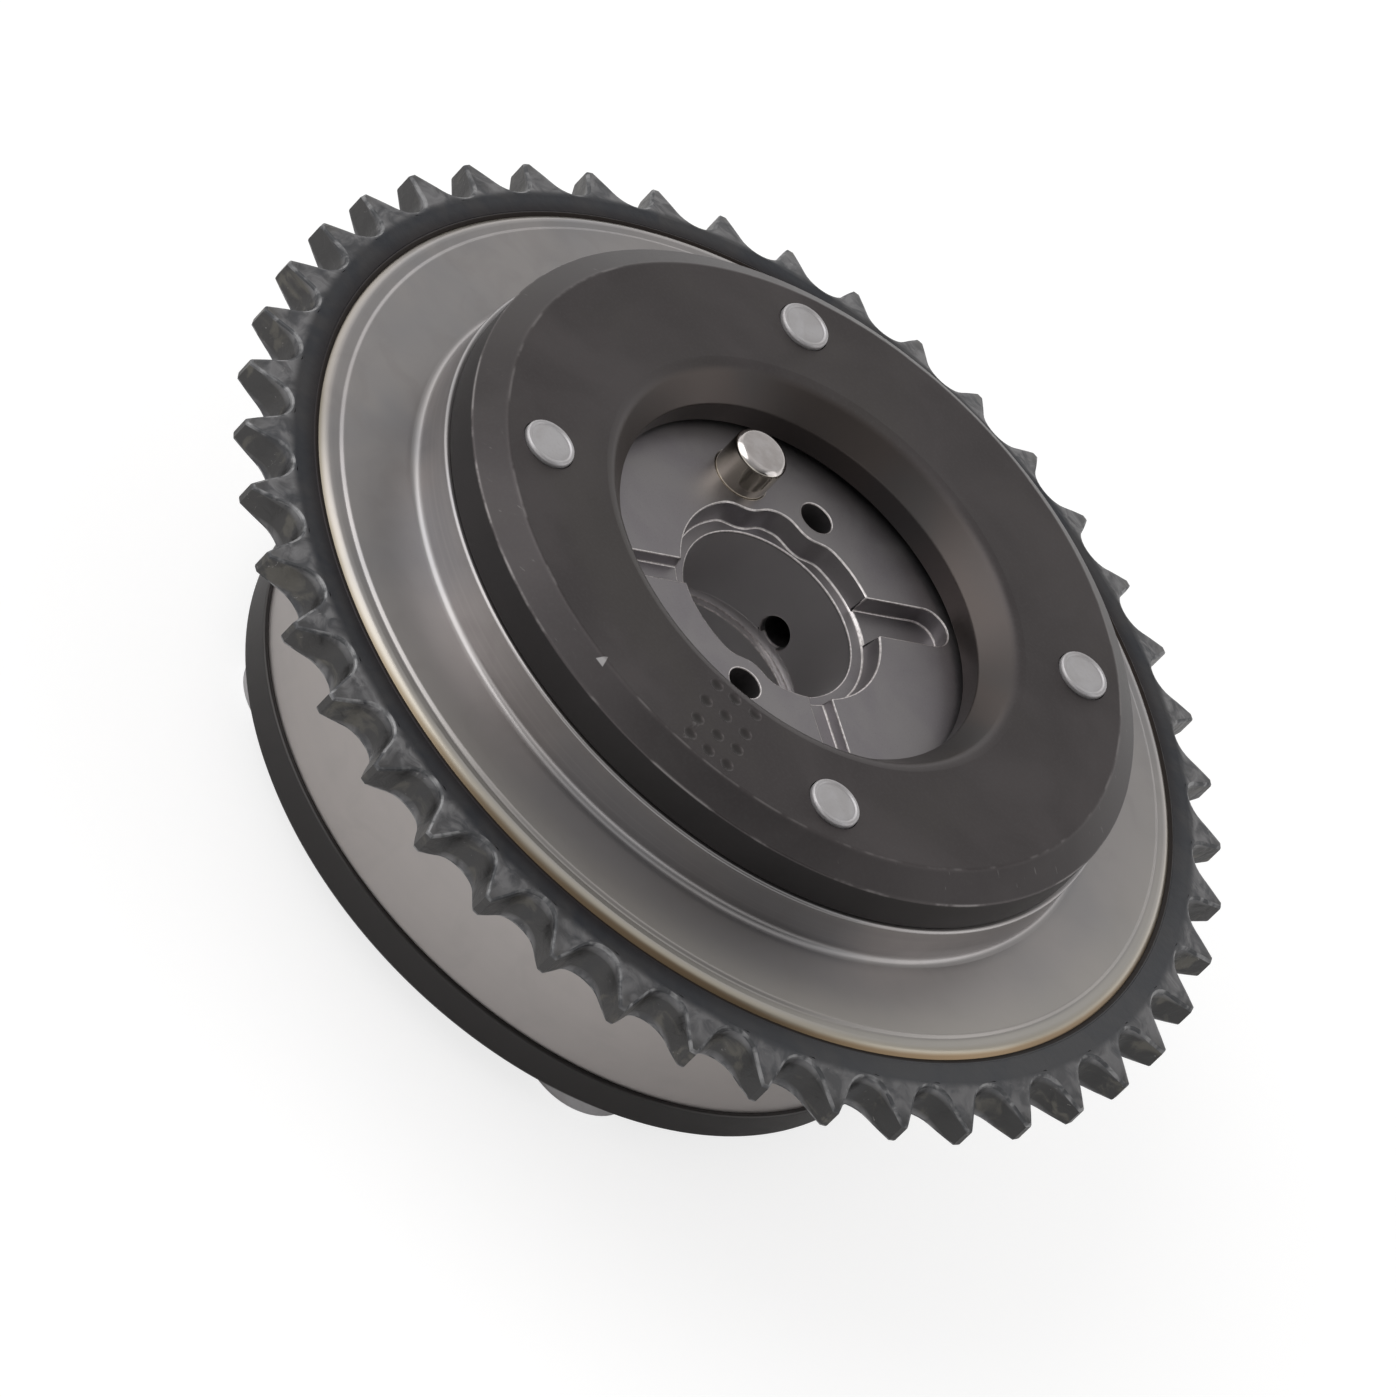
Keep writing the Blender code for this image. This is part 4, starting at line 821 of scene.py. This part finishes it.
# %% [markdown]
# ## The toothed ring
# A flat grid is wrapped round the axis: its columns follow the tooth outline, its rows go round the
# section, and both seams are merged. That gives clean strips of faces along every tooth, which a
# Boolean would not. The tooth form is that of a roller chain: a round seat for the roller, then a
# long convex flank up to the tip. Both sides are turned down to a cone, which leaves the
# lens-shaped facets beside each gap.

# %% Tooth outline
TEETH, CHAIN_PITCH, FIRST_TOOTH_ANGLE = 44, 8.0 * MM, 3.64
PITCH_RADIUS = CHAIN_PITCH / 2 / math.sin(math.pi / TEETH)
TIP_RADIUS = PITCH_RADIUS + 1.83 * MM
SEAT_RADIUS, FLANK_RADIUS, HALF_SEAT = 2.53 * MM, 30.0 * MM, math.radians(65.0)


def gap_points(seat_steps=10, flank_steps=5):
    """One tooth gap about +X, from tip to tip."""
    roller = Vector((PITCH_RADIUS, 0.0))
    seat = []
    for index in range(seat_steps + 1):
        turn = -HALF_SEAT + 2 * HALF_SEAT * index / seat_steps
        seat.append(roller + SEAT_RADIUS * Vector((-math.cos(turn), math.sin(turn))))
    outward = Vector((-math.cos(HALF_SEAT), math.sin(HALF_SEAT)))
    centre = roller + (SEAT_RADIUS + FLANK_RADIUS) * outward
    start = math.atan2(-outward.y, -outward.x)
    reach = centre.length
    cosine = (reach ** 2 + FLANK_RADIUS ** 2 - TIP_RADIUS ** 2) / (2 * reach * FLANK_RADIUS)
    end = math.atan2(centre.y, centre.x) - math.pi + math.acos(cosine)
    flank = []
    for index in range(1, flank_steps + 1):
        turn = start + (end - start) * index / flank_steps
        flank.append(centre + FLANK_RADIUS * Vector((math.cos(turn), math.sin(turn))))
    return [Vector((point.x, -point.y)) for point in reversed(flank)] + seat + flank


def tooth_outline():
    """The outline of all teeth, with the outward direction at each point."""
    points = []
    for tooth in range(TEETH):
        turn = Matrix.Rotation(math.radians(FIRST_TOOTH_ANGLE + 360.0 / TEETH * (tooth + 0.5)), 2)
        points += [turn @ point for point in gap_points()]
    outline = []
    for index, point in enumerate(points):
        before = (point - points[index - 1]).normalized()
        after = (points[(index + 1) % len(points)] - point).normalized()
        along = (before + after).normalized()
        outline.append((point, Vector((along.y, -along.x))))
    return outline


outline = tooth_outline()
print("teeth:", TEETH, "outline points:", len(outline))

# %% Toothed ring
SPROCKET_BORE = 50.9 * MM
CONE_START = min(point.length for point, outward in outline) - 0.5 * MM
CONE_SLOPE = 1.2 * MM / (TIP_RADIUS - CONE_START)
TOOTH_EDGE, BORE_EDGE = 0.28 * MM, 0.15 * MM
EDGE_STRIPS = (5, 6, 8, 9)


def ring_rows():
    """The section as rows: each gives the place of an outline point on that row, and its depth."""
    rows = []
    for side_z, inward in ((SPROCKET_Z, 1.0), (SPROCKET_TOP_Z, -1.0)):
        side = [(("bore", SPROCKET_BORE), side_z + inward * BORE_EDGE),
                (("bore", SPROCKET_BORE + BORE_EDGE), side_z),
                (("bore", CONE_START - 0.15 * MM), side_z),
                (("bore", CONE_START + 0.1 * MM), side_z + inward * 0.02 * MM)]
        for inset, sunk in ((2.2, 0.0), (1.0, 0.0), (0.3, 0.3), (0.0, 1.0)):
            side.append((("tooth", inset * TOOTH_EDGE), (side_z, inward, sunk * TOOTH_EDGE)))
        rows.append(side)
    return rows[0] + list(reversed(rows[1]))


def place_on_row(row, point, outward):
    """Where a point of the outline lies on one row of the section."""
    (kind, amount), height = row
    if kind == "bore":
        direction = point.normalized()
        return (*(direction * amount), height)
    flat = point - outward * amount
    side_z, inward, extra = height
    depth = max(flat.length - CONE_START, 0.0) * CONE_SLOPE + extra
    return (*flat, side_z + inward * depth)


rows = ring_rows()
columns = len(outline)
bpy.ops.mesh.primitive_grid_add(x_subdivisions=columns, y_subdivisions=len(rows), size=2.0)
sprocket = bpy.context.object
sprocket.name = sprocket.data.name = "toothed_ring"
for material in (sprocket_steel, worn_edge):
    sprocket.data.materials.append(material)
for face in sprocket.data.polygons:
    strip = int((face.center.y + 1.0) / 2.0 * len(rows))
    face.material_index = 1 if strip in EDGE_STRIPS else 0
for vert in sprocket.data.vertices:
    column = round((vert.co.x + 1.0) / 2.0 * columns) % columns
    row = round((vert.co.y + 1.0) / 2.0 * len(rows)) % len(rows)
    vert.co = place_on_row(rows[row], *outline[column])
bpy.ops.object.mode_set(mode="EDIT")
point_outwards()
bpy.ops.object.mode_set(mode="OBJECT")
hand_over(sprocket, "stator", "sprocket_ring", "sprocket_steel", sprocket_steel, worn_edge)

# %% [markdown]
# ## The weld
# A flat bead closes the joint between flange and ring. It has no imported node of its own, so it
# only rides along.

# %% Weld bead
BEAD_INNER, BEAD_OUTER, BEAD_DEPTH = 50.4 * MM, 51.05 * MM, 1.2 * MM
bead = lathe("weld_bead", eased([
    (BEAD_INNER, SPROCKET_TOP_Z - BEAD_DEPTH),
    (BEAD_OUTER, SPROCKET_TOP_Z - BEAD_DEPTH),
    (BEAD_OUTER, SPROCKET_TOP_Z - 0.05 * MM),
    (50.8 * MM, SPROCKET_TOP_Z + 0.08 * MM),
    (BEAD_INNER, SPROCKET_TOP_Z - 0.1 * MM),
], 0.1 * MM), RIM_STEPS)
hand_over(bead, "stator", None, "sprocket_steel", sprocket_steel)

# %% [markdown]
# ## The cover plates
# The camshaft side cover has a wide bevel at its rim and a mouth that opens in a cone. Between two
# rivets it carries a small field of shallow punch marks, three by four. The rear cover is plain,
# with a pocket inside for the lock pin's bush.

# %% Cover plates
MOUTH_RADIUS, MOUTH_DEPTH = 21.2 * MM, 3.1 * MM
cover_section = eased([
    (MOUTH_RADIUS, COVER_Z),
    (COVER_RIM * MM, COVER_Z),
    (COVER_RIM * MM, COVER_TOP_Z - BEVEL_DEPTH * MM),
    (COVER_FLAT_RIM * MM, COVER_TOP_Z),
    (MOUTH_RIM * MM, COVER_TOP_Z, 0.9 * MM),
    (MOUTH_RADIUS, COVER_TOP_Z - MOUTH_DEPTH),
], 0.18 * MM)
cover = lathe("camshaft_cover", cover_section, RIM_STEPS)

PUNCH_ROWS = (
    ((0.027, -0.508), (0.069, -0.500), (0.117, -0.490)),
    ((0.033, -0.567), (0.079, -0.559), (0.129, -0.555)),
    ((0.045, -0.625), (0.0935, -0.619), (0.138, -0.608)),
    ((0.0546, -0.674), (0.1008, -0.673), (0.1445, -0.664)),
)
PUNCH_RADIUS, PUNCH_DEPTH = 1.5 * MM, 0.22 * MM


def punch_marks():
    """Balls that dip into the cover's face, at places read in the camera's own turn."""
    turned = Matrix.Rotation(AZIMUTH, 2)
    balls = []
    for row in PUNCH_ROWS:
        for mark in row:
            spot = turned @ (Vector(mark) * SPROCKET_BORE)
            bpy.ops.mesh.primitive_ico_sphere_add(
                subdivisions=4, radius=PUNCH_RADIUS,
                location=(spot.x, spot.y, COVER_TOP_Z + PUNCH_RADIUS - PUNCH_DEPTH))
            balls.append(bpy.context.object)
    return join(balls)


carve(cover, punch_marks(),
      rods("cover_rivet_holes", RIVET_CENTRES, RIVET_HOLE_RADIUS,
           COVER_Z - OVERRUN, COVER_TOP_Z + OVERRUN, 48))
hand_over(cover, "stator", "camshaft_side_cover", "blackened_steel", blackened_steel)

# %% Rear cover
REAR_MOUTH, REAR_RIM = 16.0 * MM, 39.9 * MM
LOCK_CENTRE, BUSH_RADIUS, BUSH_DEPTH = polar(26.8 * MM, -14.0), 4.7 * MM, 3.1 * MM
rear_section = eased([
    (REAR_MOUTH, REAR_Z + 0.5 * MM),
    (16.5 * MM, REAR_Z),
    (39.2 * MM, REAR_Z),
    (REAR_RIM, REAR_Z + 0.7 * MM),
    (REAR_RIM, REAR_TOP_Z, 0.35 * MM),
    (REAR_MOUTH, REAR_TOP_Z),
], 0.15 * MM)
rear_cover = lathe("rear_plate", rear_section, RIM_STEPS)
carve(rear_cover,
      rods("rear_rivet_holes", RIVET_CENTRES, RIVET_HOLE_RADIUS,
           REAR_Z - OVERRUN, REAR_TOP_Z + OVERRUN, 48),
      rods("bush_pocket", [LOCK_CENTRE], BUSH_RADIUS,
           REAR_TOP_Z - BUSH_DEPTH, REAR_TOP_Z + OVERRUN, 48))
hand_over(rear_cover, "stator", "rear_cover", "blackened_steel", blackened_steel)

# %% [markdown]
# ## Rivets
# One rivet is turned and copied three times. Its front end stands a little proud of the cover and
# has a fine raised rim round a shallow dish, and its rear end is a round head.

# %% Rivets
HEAD_RADIUS, HEAD_HEIGHT, SHANK_RADIUS = 6.7 * MM, 2.5 * MM, 2.75 * MM
rivet_section = eased([
    (0.0, 0.0),
    (6.1 * MM, 0.0),
    (HEAD_RADIUS, 0.6 * MM),
    (HEAD_RADIUS, 2.2 * MM),
    (6.4 * MM, HEAD_HEIGHT),
    (SHANK_RADIUS, HEAD_HEIGHT),
    (SHANK_RADIUS, RIVET_TOP_Z - 0.22 * MM, 0.12 * MM),
    (2.6 * MM, RIVET_TOP_Z, 0.08 * MM),
    (2.36 * MM, RIVET_TOP_Z, 0.06 * MM),
    (2.2 * MM, RIVET_TOP_Z - 0.16 * MM, 0.08 * MM),
    (1.9 * MM, RIVET_TOP_Z - 0.08 * MM, 0.3 * MM),
    (0.0, RIVET_TOP_Z - 0.05 * MM),
], 0.2 * MM)
for number, centre in enumerate(RIVET_CENTRES, start=1):
    rivet = lathe(f"through_rivet_{number}", rivet_section, 64)
    rivet.data.transform(Matrix.Translation(centre))
    hand_over(rivet, "stator", f"rivet_{number}", "rivet_steel", rivet_steel)

# %% [markdown]
# ## The rotor
# The rotor starts as a prism of its whole outline, hub and vanes, because the vanes belong to the
# same piece of metal. Then its bore, the lobed recess round it, the slot and grooves in its face
# and its oil holes are cut, and the rims get a narrow rounding in a much lighter finish, partly
# worn metal and partly painted highlight.

# %% Rotor outline
VANE_ANGLES = (-14.0, 76.0, 166.0, 256.0)
VANE_TIP_RADIUS, VANE_SLOT_FLOOR = 35.0 * MM, 31.2 * MM
BORE_RADIUS, RECESS_RADIUS = 9.9 * MM, 12.0 * MM
DOWEL_CIRCLE, DOWEL_ANGLE, DOWEL_RADIUS = 15.3 * MM, 150.3, 3.0 * MM
DOWEL_CENTRE = polar(DOWEL_CIRCLE, DOWEL_ANGLE)
OIL_HOLE_ANGLES, OIL_HOLE_CIRCLE, OIL_HOLE_RADIUS = (114.5, 294.5), 14.2 * MM, 1.8 * MM
DOWEL_BOSS_RADIUS, OIL_HOLE_BOSS_RADIUS = 4.2 * MM, 3.25 * MM


def rotor_outline():
    """Hub and vanes, with a seal slot in each vane's tip."""
    outline = []
    chamfer = 1.3 * MM
    chamfer_turn = math.degrees(chamfer / VANE_TIP_RADIUS)
    slot_turn = math.degrees(math.asin(SEAL_SLOT_HALF_WIDTH / VANE_TIP_RADIUS))
    for vane in VANE_ANGLES:
        start, end = vane - VANE_HALF_ANGLE, vane + VANE_HALF_ANGLE
        outline += [polar(HUB_RADIUS, start), polar(VANE_TIP_RADIUS - chamfer, start)]
        outline += arc(VANE_TIP_RADIUS, start + chamfer_turn, vane - slot_turn, 2.0)
        outline += across(polar(VANE_SLOT_FLOOR, vane), vane, SEAL_SLOT_HALF_WIDTH)
        outline += arc(VANE_TIP_RADIUS, vane + slot_turn, end - chamfer_turn, 2.0)
        outline.append(polar(VANE_TIP_RADIUS - chamfer, end))
        outline += arc(HUB_RADIUS, end, vane + 90.0 - VANE_HALF_ANGLE, 2.0)[:-1]
    return outline


def averaged(values, reach):
    """Round off a closed run of values: each becomes the mean of its neighbours on both sides."""
    return [sum(values[(index + step) % len(values)] for step in range(-reach, reach + 1))
            / (2 * reach + 1) for index in range(len(values))]


def recess_outline(steps=240):
    """The recess about the bore, with a wall left round the dowel pin and the oil holes."""
    bosses = [(DOWEL_CIRCLE, DOWEL_ANGLE, DOWEL_BOSS_RADIUS)]
    bosses += [(OIL_HOLE_CIRCLE, angle, OIL_HOLE_BOSS_RADIUS) for angle in OIL_HOLE_ANGLES]
    angles = [360.0 * (index + 0.5) / steps for index in range(steps)]
    radii = []
    for angle in angles:
        radius = RECESS_RADIUS
        for circle, boss_angle, boss_radius in bosses:
            turn = math.radians(angle - boss_angle)
            inside = boss_radius ** 2 - (circle * math.sin(turn)) ** 2
            if inside > 0 and math.cos(turn) > 0:
                radius = min(radius, circle * math.cos(turn) - math.sqrt(inside))
        radii.append(radius)
    for _ in range(2):
        radii = averaged(radii, 2)
    return [polar(radius, angle) for radius, angle in zip(radii, angles)]


def taper(piece, height, shrink):
    """Draw the points below a height towards the axis."""
    for vert in piece.data.vertices:
        if vert.co.z < height:
            length = vert.co.xy.length
            vert.co.xy *= (length - shrink) / length


def slot_outline(angle, offset, half_width, reach, rounded):
    """A slot along a direction, with a round or a plain outer end."""
    near = across(polar(BORE_RADIUS / 2, angle), angle, offset)[1]
    far = across(polar(reach - (half_width if rounded else 0.0), angle), angle, offset)[1]
    points = across(near, angle, half_width)[::-1]
    if rounded:
        return points + [far + point for point in arc(half_width, angle - 90.0, angle + 90.0, 9.0)]
    return points + across(far, angle, half_width)


print("rotor outline:", len(rotor_outline()), "points")

# %% Rotor
SEAT_DEPTH, SEAT_OUTER, SEAT_INNER, SEAT_CHAMFER = 0.8 * MM, 14.5 * MM, 10.4 * MM, 0.5 * MM
OIL_GROOVE_RADIUS, OIL_GROOVE_WIDTH, OIL_GROOVE_DEPTH = 10.7 * MM, 1.6 * MM, 11.9 * MM
RECESS_TAPER, SLOT_DEPTH, GROOVE_DEPTH, GROOVE_HALF_WIDTH = 0.7 * MM, 2.1 * MM, 1.4 * MM, 1.5 * MM
SLOT_ANGLE, SLOT_HALF_WIDTH, SLOT_REACH = 60.5, 2.27 * MM, 20.9 * MM
DOWEL_HOLE_RADIUS, LOCK_BORE_RADIUS, OIL_HOLE_DEPTH = 3.03 * MM, 3.4 * MM, 13.0 * MM
FEED_ANGLE, FEED_RADIUS, FEED_DEPTH, FEED_STEPS = 90.8, 1.75 * MM, 10.5 * MM, 32
ABOVE, BELOW = ROTOR_TOP_Z + OVERRUN, ROTOR_Z - OVERRUN

rotor = prism("vaned_rotor", rotor_outline(), ROTOR_Z, ROTOR_TOP_Z)
rotor.data.materials.append(rotor_steel)
rotor.data.materials.append(rim_wear_and_highlight)

seat_z, groove_top = ROTOR_Z + SEAT_DEPTH, ROTOR_TOP_Z - OIL_GROOVE_DEPTH
bore = lathe("bore", [
    (0.0, BELOW), (SEAT_OUTER, BELOW), (SEAT_OUTER, seat_z), (SEAT_INNER, seat_z),
    (BORE_RADIUS, seat_z + SEAT_CHAMFER), (BORE_RADIUS, groove_top - OIL_GROOVE_WIDTH),
    (OIL_GROOVE_RADIUS, groove_top - OIL_GROOVE_WIDTH), (OIL_GROOVE_RADIUS, groove_top),
    (BORE_RADIUS, groove_top), (BORE_RADIUS, ABOVE), (0.0, ABOVE)], 144)
recess = prism("recess", recess_outline(), ROTOR_TOP_Z - RECESS_DEPTH, ABOVE)
taper(recess, ROTOR_TOP_Z, RECESS_TAPER)
slots = join([
    prism("blind_slot", slot_outline(SLOT_ANGLE, 0.0, SLOT_HALF_WIDTH, SLOT_REACH, True),
          ROTOR_TOP_Z - SLOT_DEPTH, ABOVE),
    *(prism(name, slot_outline(angle, offset, GROOVE_HALF_WIDTH, HUB_RADIUS + OVERRUN, False),
            ROTOR_TOP_Z - GROOVE_DEPTH, ABOVE)
      for name, angle, offset in (("right_groove", -29.5, 0.9 * MM),
                                  ("left_groove", 240.5, -1.45 * MM))),
])
oil_centres = [polar(OIL_HOLE_CIRCLE, angle) for angle in OIL_HOLE_ANGLES]
holes = [
    rods("dowel_hole", [DOWEL_CENTRE], DOWEL_HOLE_RADIUS, DOWEL_Z - 0.3 * MM, ABOVE, 64),
    rods("oil_holes", oil_centres, OIL_HOLE_RADIUS, ROTOR_TOP_Z - OIL_HOLE_DEPTH, ABOVE, 48),
    rods("lock_bore", [LOCK_CENTRE], LOCK_BORE_RADIUS, BELOW, ABOVE, 48),
]


def feed_holes():
    """Four radial oil holes from the bore to the chambers."""
    circle = [polar(FEED_RADIUS, 360.0 * step / FEED_STEPS) for step in range(FEED_STEPS)]
    lift = Matrix.Translation((0, 0, ROTOR_TOP_Z - FEED_DEPTH))
    lay_down = Matrix.Rotation(math.pi / 2, 4, "Y")
    drills = []
    for index in range(4):
        drill = prism("feed_hole", circle, BORE_RADIUS / 2, HUB_RADIUS + OVERRUN)
        turn = Matrix.Rotation(math.radians(FEED_ANGLE + 90.0 * index), 4, "Z")
        drill.data.transform(lift @ (turn @ lay_down))
        drills.append(drill)
    return join(drills)


RIM_WIDTH, ROTOR_SMOOTH_LIMIT = 0.14 * MM, 20.0
carve(rotor, bore, recess, slots, *holes, feed_holes())
# the rims take the lighter finish of wear and painted highlight
ease_rims(rotor, RIM_WIDTH, finish_index=1)
hand_over(rotor, "rotor", "rotor", "rotor_steel", rotor_steel, rim_wear_and_highlight,
          limit=ROTOR_SMOOTH_LIMIT)

# %% [markdown]
# ## The dowel pin
# It is a plain ground pin with a bevelled and slightly domed end, so the lathe makes it whole.

# %% Dowel pin
DOWEL_CHAMFER, DOME_HEIGHT = 0.55 * MM, 0.06 * MM
dowel = lathe("locating_dowel", eased([
    (0.0, DOWEL_Z),
    (DOWEL_RADIUS - DOWEL_CHAMFER, DOWEL_Z),
    (DOWEL_RADIUS, DOWEL_Z + DOWEL_CHAMFER),
    (DOWEL_RADIUS, DOWEL_TOP_Z - DOWEL_CHAMFER),
    (DOWEL_RADIUS - DOWEL_CHAMFER, DOWEL_TOP_Z - DOME_HEIGHT),
    (0.0, DOWEL_TOP_Z),
], 0.25 * MM, steps=4), 96)
dowel.data.transform(Matrix.Translation(DOWEL_CENTRE))
hand_over(dowel, "rotor", "dowel_pin", "ground_steel", ground_steel)

# %% [markdown]
# ## The lock pin's spring
# A coil sits between the hollow lock pin and its seat. It is a curve with a round bevel, because a
# curve is easy to wind in code.

# %% Lock spring
COIL_TURNS, COIL_STEPS, WIRE_RADIUS = 6, 24, 0.25 * MM
spring_low, spring_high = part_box("lock_spring")
coil_radius = (spring_high.x - spring_low.x) / 2 - WIRE_RADIUS
first_z, last_z = spring_low.z + WIRE_RADIUS, spring_high.z - WIRE_RADIUS

bpy.ops.curve.primitive_nurbs_path_add()
coil = bpy.context.object
coil.name = coil.data.name = "lock_coil"
coil.data.splines.clear()
wire = coil.data.splines.new("POLY")
wire.points.add(COIL_TURNS * COIL_STEPS)
for index, point in enumerate(wire.points):
    share = index / (COIL_TURNS * COIL_STEPS)
    turned = polar(coil_radius, 360.0 * COIL_TURNS * share, first_z + (last_z - first_z) * share)
    point.co = (*(LOCK_CENTRE + turned), 1.0)
coil.data.bevel_depth = WIRE_RADIUS
coil.data.bevel_resolution = 3
coil.data.use_fill_caps = True
bpy.ops.object.convert(target="MESH")
hand_over(coil, "rotor", "lock_spring", "spring_steel", spring_steel)
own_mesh(coil)

# %% [markdown]
# ## Floor and light
# Polished and satin metal shows its surroundings, so the studio matters as much as the finishes: a
# white floor, a white horizon that falls to a mid grey above, one brighter and two darker patches
# of sky, one large soft lamp from the left and a weaker one from the right. Together they light a
# level surface at about 1, so that colours render as they are written. The camera sees the floor as
# partly its own light, which keeps it white and leaves only a weak shadow. Steel and glass mirror a
# lit white floor with a little of that light.

# %% Floor
FLOOR_RADIUS = 4.0
LIT_COLOUR, SEEN_COLOUR = (0.92,) * 3, (0.34,) * 3
NO_GLOW, MIRRORED_GLOW, SEEN_GLOW = (0.0,) * 3, (0.07,) * 3, (0.77,) * 3


def make_white_floor():
    n = Nodes("white_floor")
    path = n.add("ShaderNodeLightPath", {}, {}).socket.node
    camera_ray, glossy_ray, clear_ray = (Value(n, path.outputs[f"Is {kind} Ray"])
                                         for kind in ("Camera", "Glossy", "Transmission"))
    mirrored = (glossy_ray + clear_ray).math("MINIMUM", 1.0)
    glow = n.mix(camera_ray, n.mix(mirrored, NO_GLOW, MIRRORED_GLOW), SEEN_GLOW)
    n.link(glow, n.shader.inputs["Emission Color"])
    n.link(1.0, n.shader.inputs["Emission Strength"])
    n.link(0.0, n.shader.inputs["Specular IOR Level"])
    return n.finish(n.mix(camera_ray, LIT_COLOUR, SEEN_COLOUR), 1.0, 0.0)


bpy.ops.mesh.primitive_circle_add(vertices=128, radius=FLOOR_RADIUS, fill_type="NGON")
floor = bpy.context.object
floor.name = "floor"
floor.data.materials.append(make_white_floor())
print("floor radius", FLOOR_RADIUS, "m")

# %% World
def direction(azimuth, elevation):
    """The unit vector towards a place in the sky, given in degrees."""
    height = math.radians(elevation)
    return polar(math.cos(height), azimuth, math.sin(height))


class SkyNodes(Nodes):
    """The nodes of the world, whose level depends on the direction alone."""

    def __init__(self, world):
        world.use_nodes = True
        self.tree = world.node_tree
        look = self.add("ShaderNodeTexCoord", {}, {}, output="Generated")
        parts = self.add("ShaderNodeSeparateXYZ", {}, {"Vector": look}).socket.node
        self.x, self.y, self.z = (Value(self, socket) for socket in parts.outputs)

    def towards(self, azimuth, elevation, inner, outer):
        """1 within the inner angle of a direction, and 0 beyond the outer one."""
        aim = direction(azimuth, elevation)
        cosine = self.x * aim.x + self.y * aim.y + self.z * aim.z
        return cosine.ramp(math.cos(math.radians(outer)), math.cos(math.radians(inner)))


HORIZON_LEVEL, SKY_LEVEL, ZENITH_LEVEL = 1.15, 0.5, 0.62
SKY_PATCHES = ((150.0, 16.0, 5.0, 30.0, 0.3), (290.0, 54.0, 8.0, 32.0, -0.2),
               (350.0, 12.0, 18.0, 52.0, -0.5))
studio = bpy.data.worlds.new("studio")
bpy.context.scene.world = studio
sky = SkyNodes(studio)
level = (sky.z.ramp(0.05, 0.55) * (SKY_LEVEL - HORIZON_LEVEL) + HORIZON_LEVEL
         + sky.z.ramp(0.75, 0.95) * (ZENITH_LEVEL - SKY_LEVEL))
for azimuth, elevation, inner, outer, change in SKY_PATCHES:
    level = level + sky.towards(azimuth, elevation, inner, outer) * change
background = sky.tree.nodes["Background"]
sky.link(level, background.inputs["Strength"])
sky.link((1.0, 0.99, 0.98, 1.0), background.inputs["Color"])
print("sky level", SKY_LEVEL, "with", len(SKY_PATCHES), "patches")


# %% Lamps
def add_soft_lamp(name, azimuth, elevation, distance, size, radiance):
    """A square lamp that looks at the phaser and shows with a given radiance."""
    away = direction(azimuth, elevation)
    bpy.ops.object.light_add(type="AREA", location=AIM + away * distance)
    lamp = bpy.context.object
    lamp.name = lamp.data.name = name
    lamp.rotation_euler = away.to_track_quat("Z", "Y").to_euler()
    lamp.data.shape = "SQUARE"
    lamp.data.size = size
    lamp.data.energy = radiance * math.pi * size * size
    return lamp


for lamp in (("key_lamp", 205.0, 42.0, 1.3, 1.2, 1.65), ("fill_lamp", 22.0, 28.0, 1.4, 0.9, 0.85)):
    print("lamp:", add_soft_lamp(*lamp).name)

# %% [markdown]
# ## The view transform
# The view transform is Standard, so that colours render as they are written.

# %% View transform
bpy.context.scene.view_settings.view_transform = "Standard"
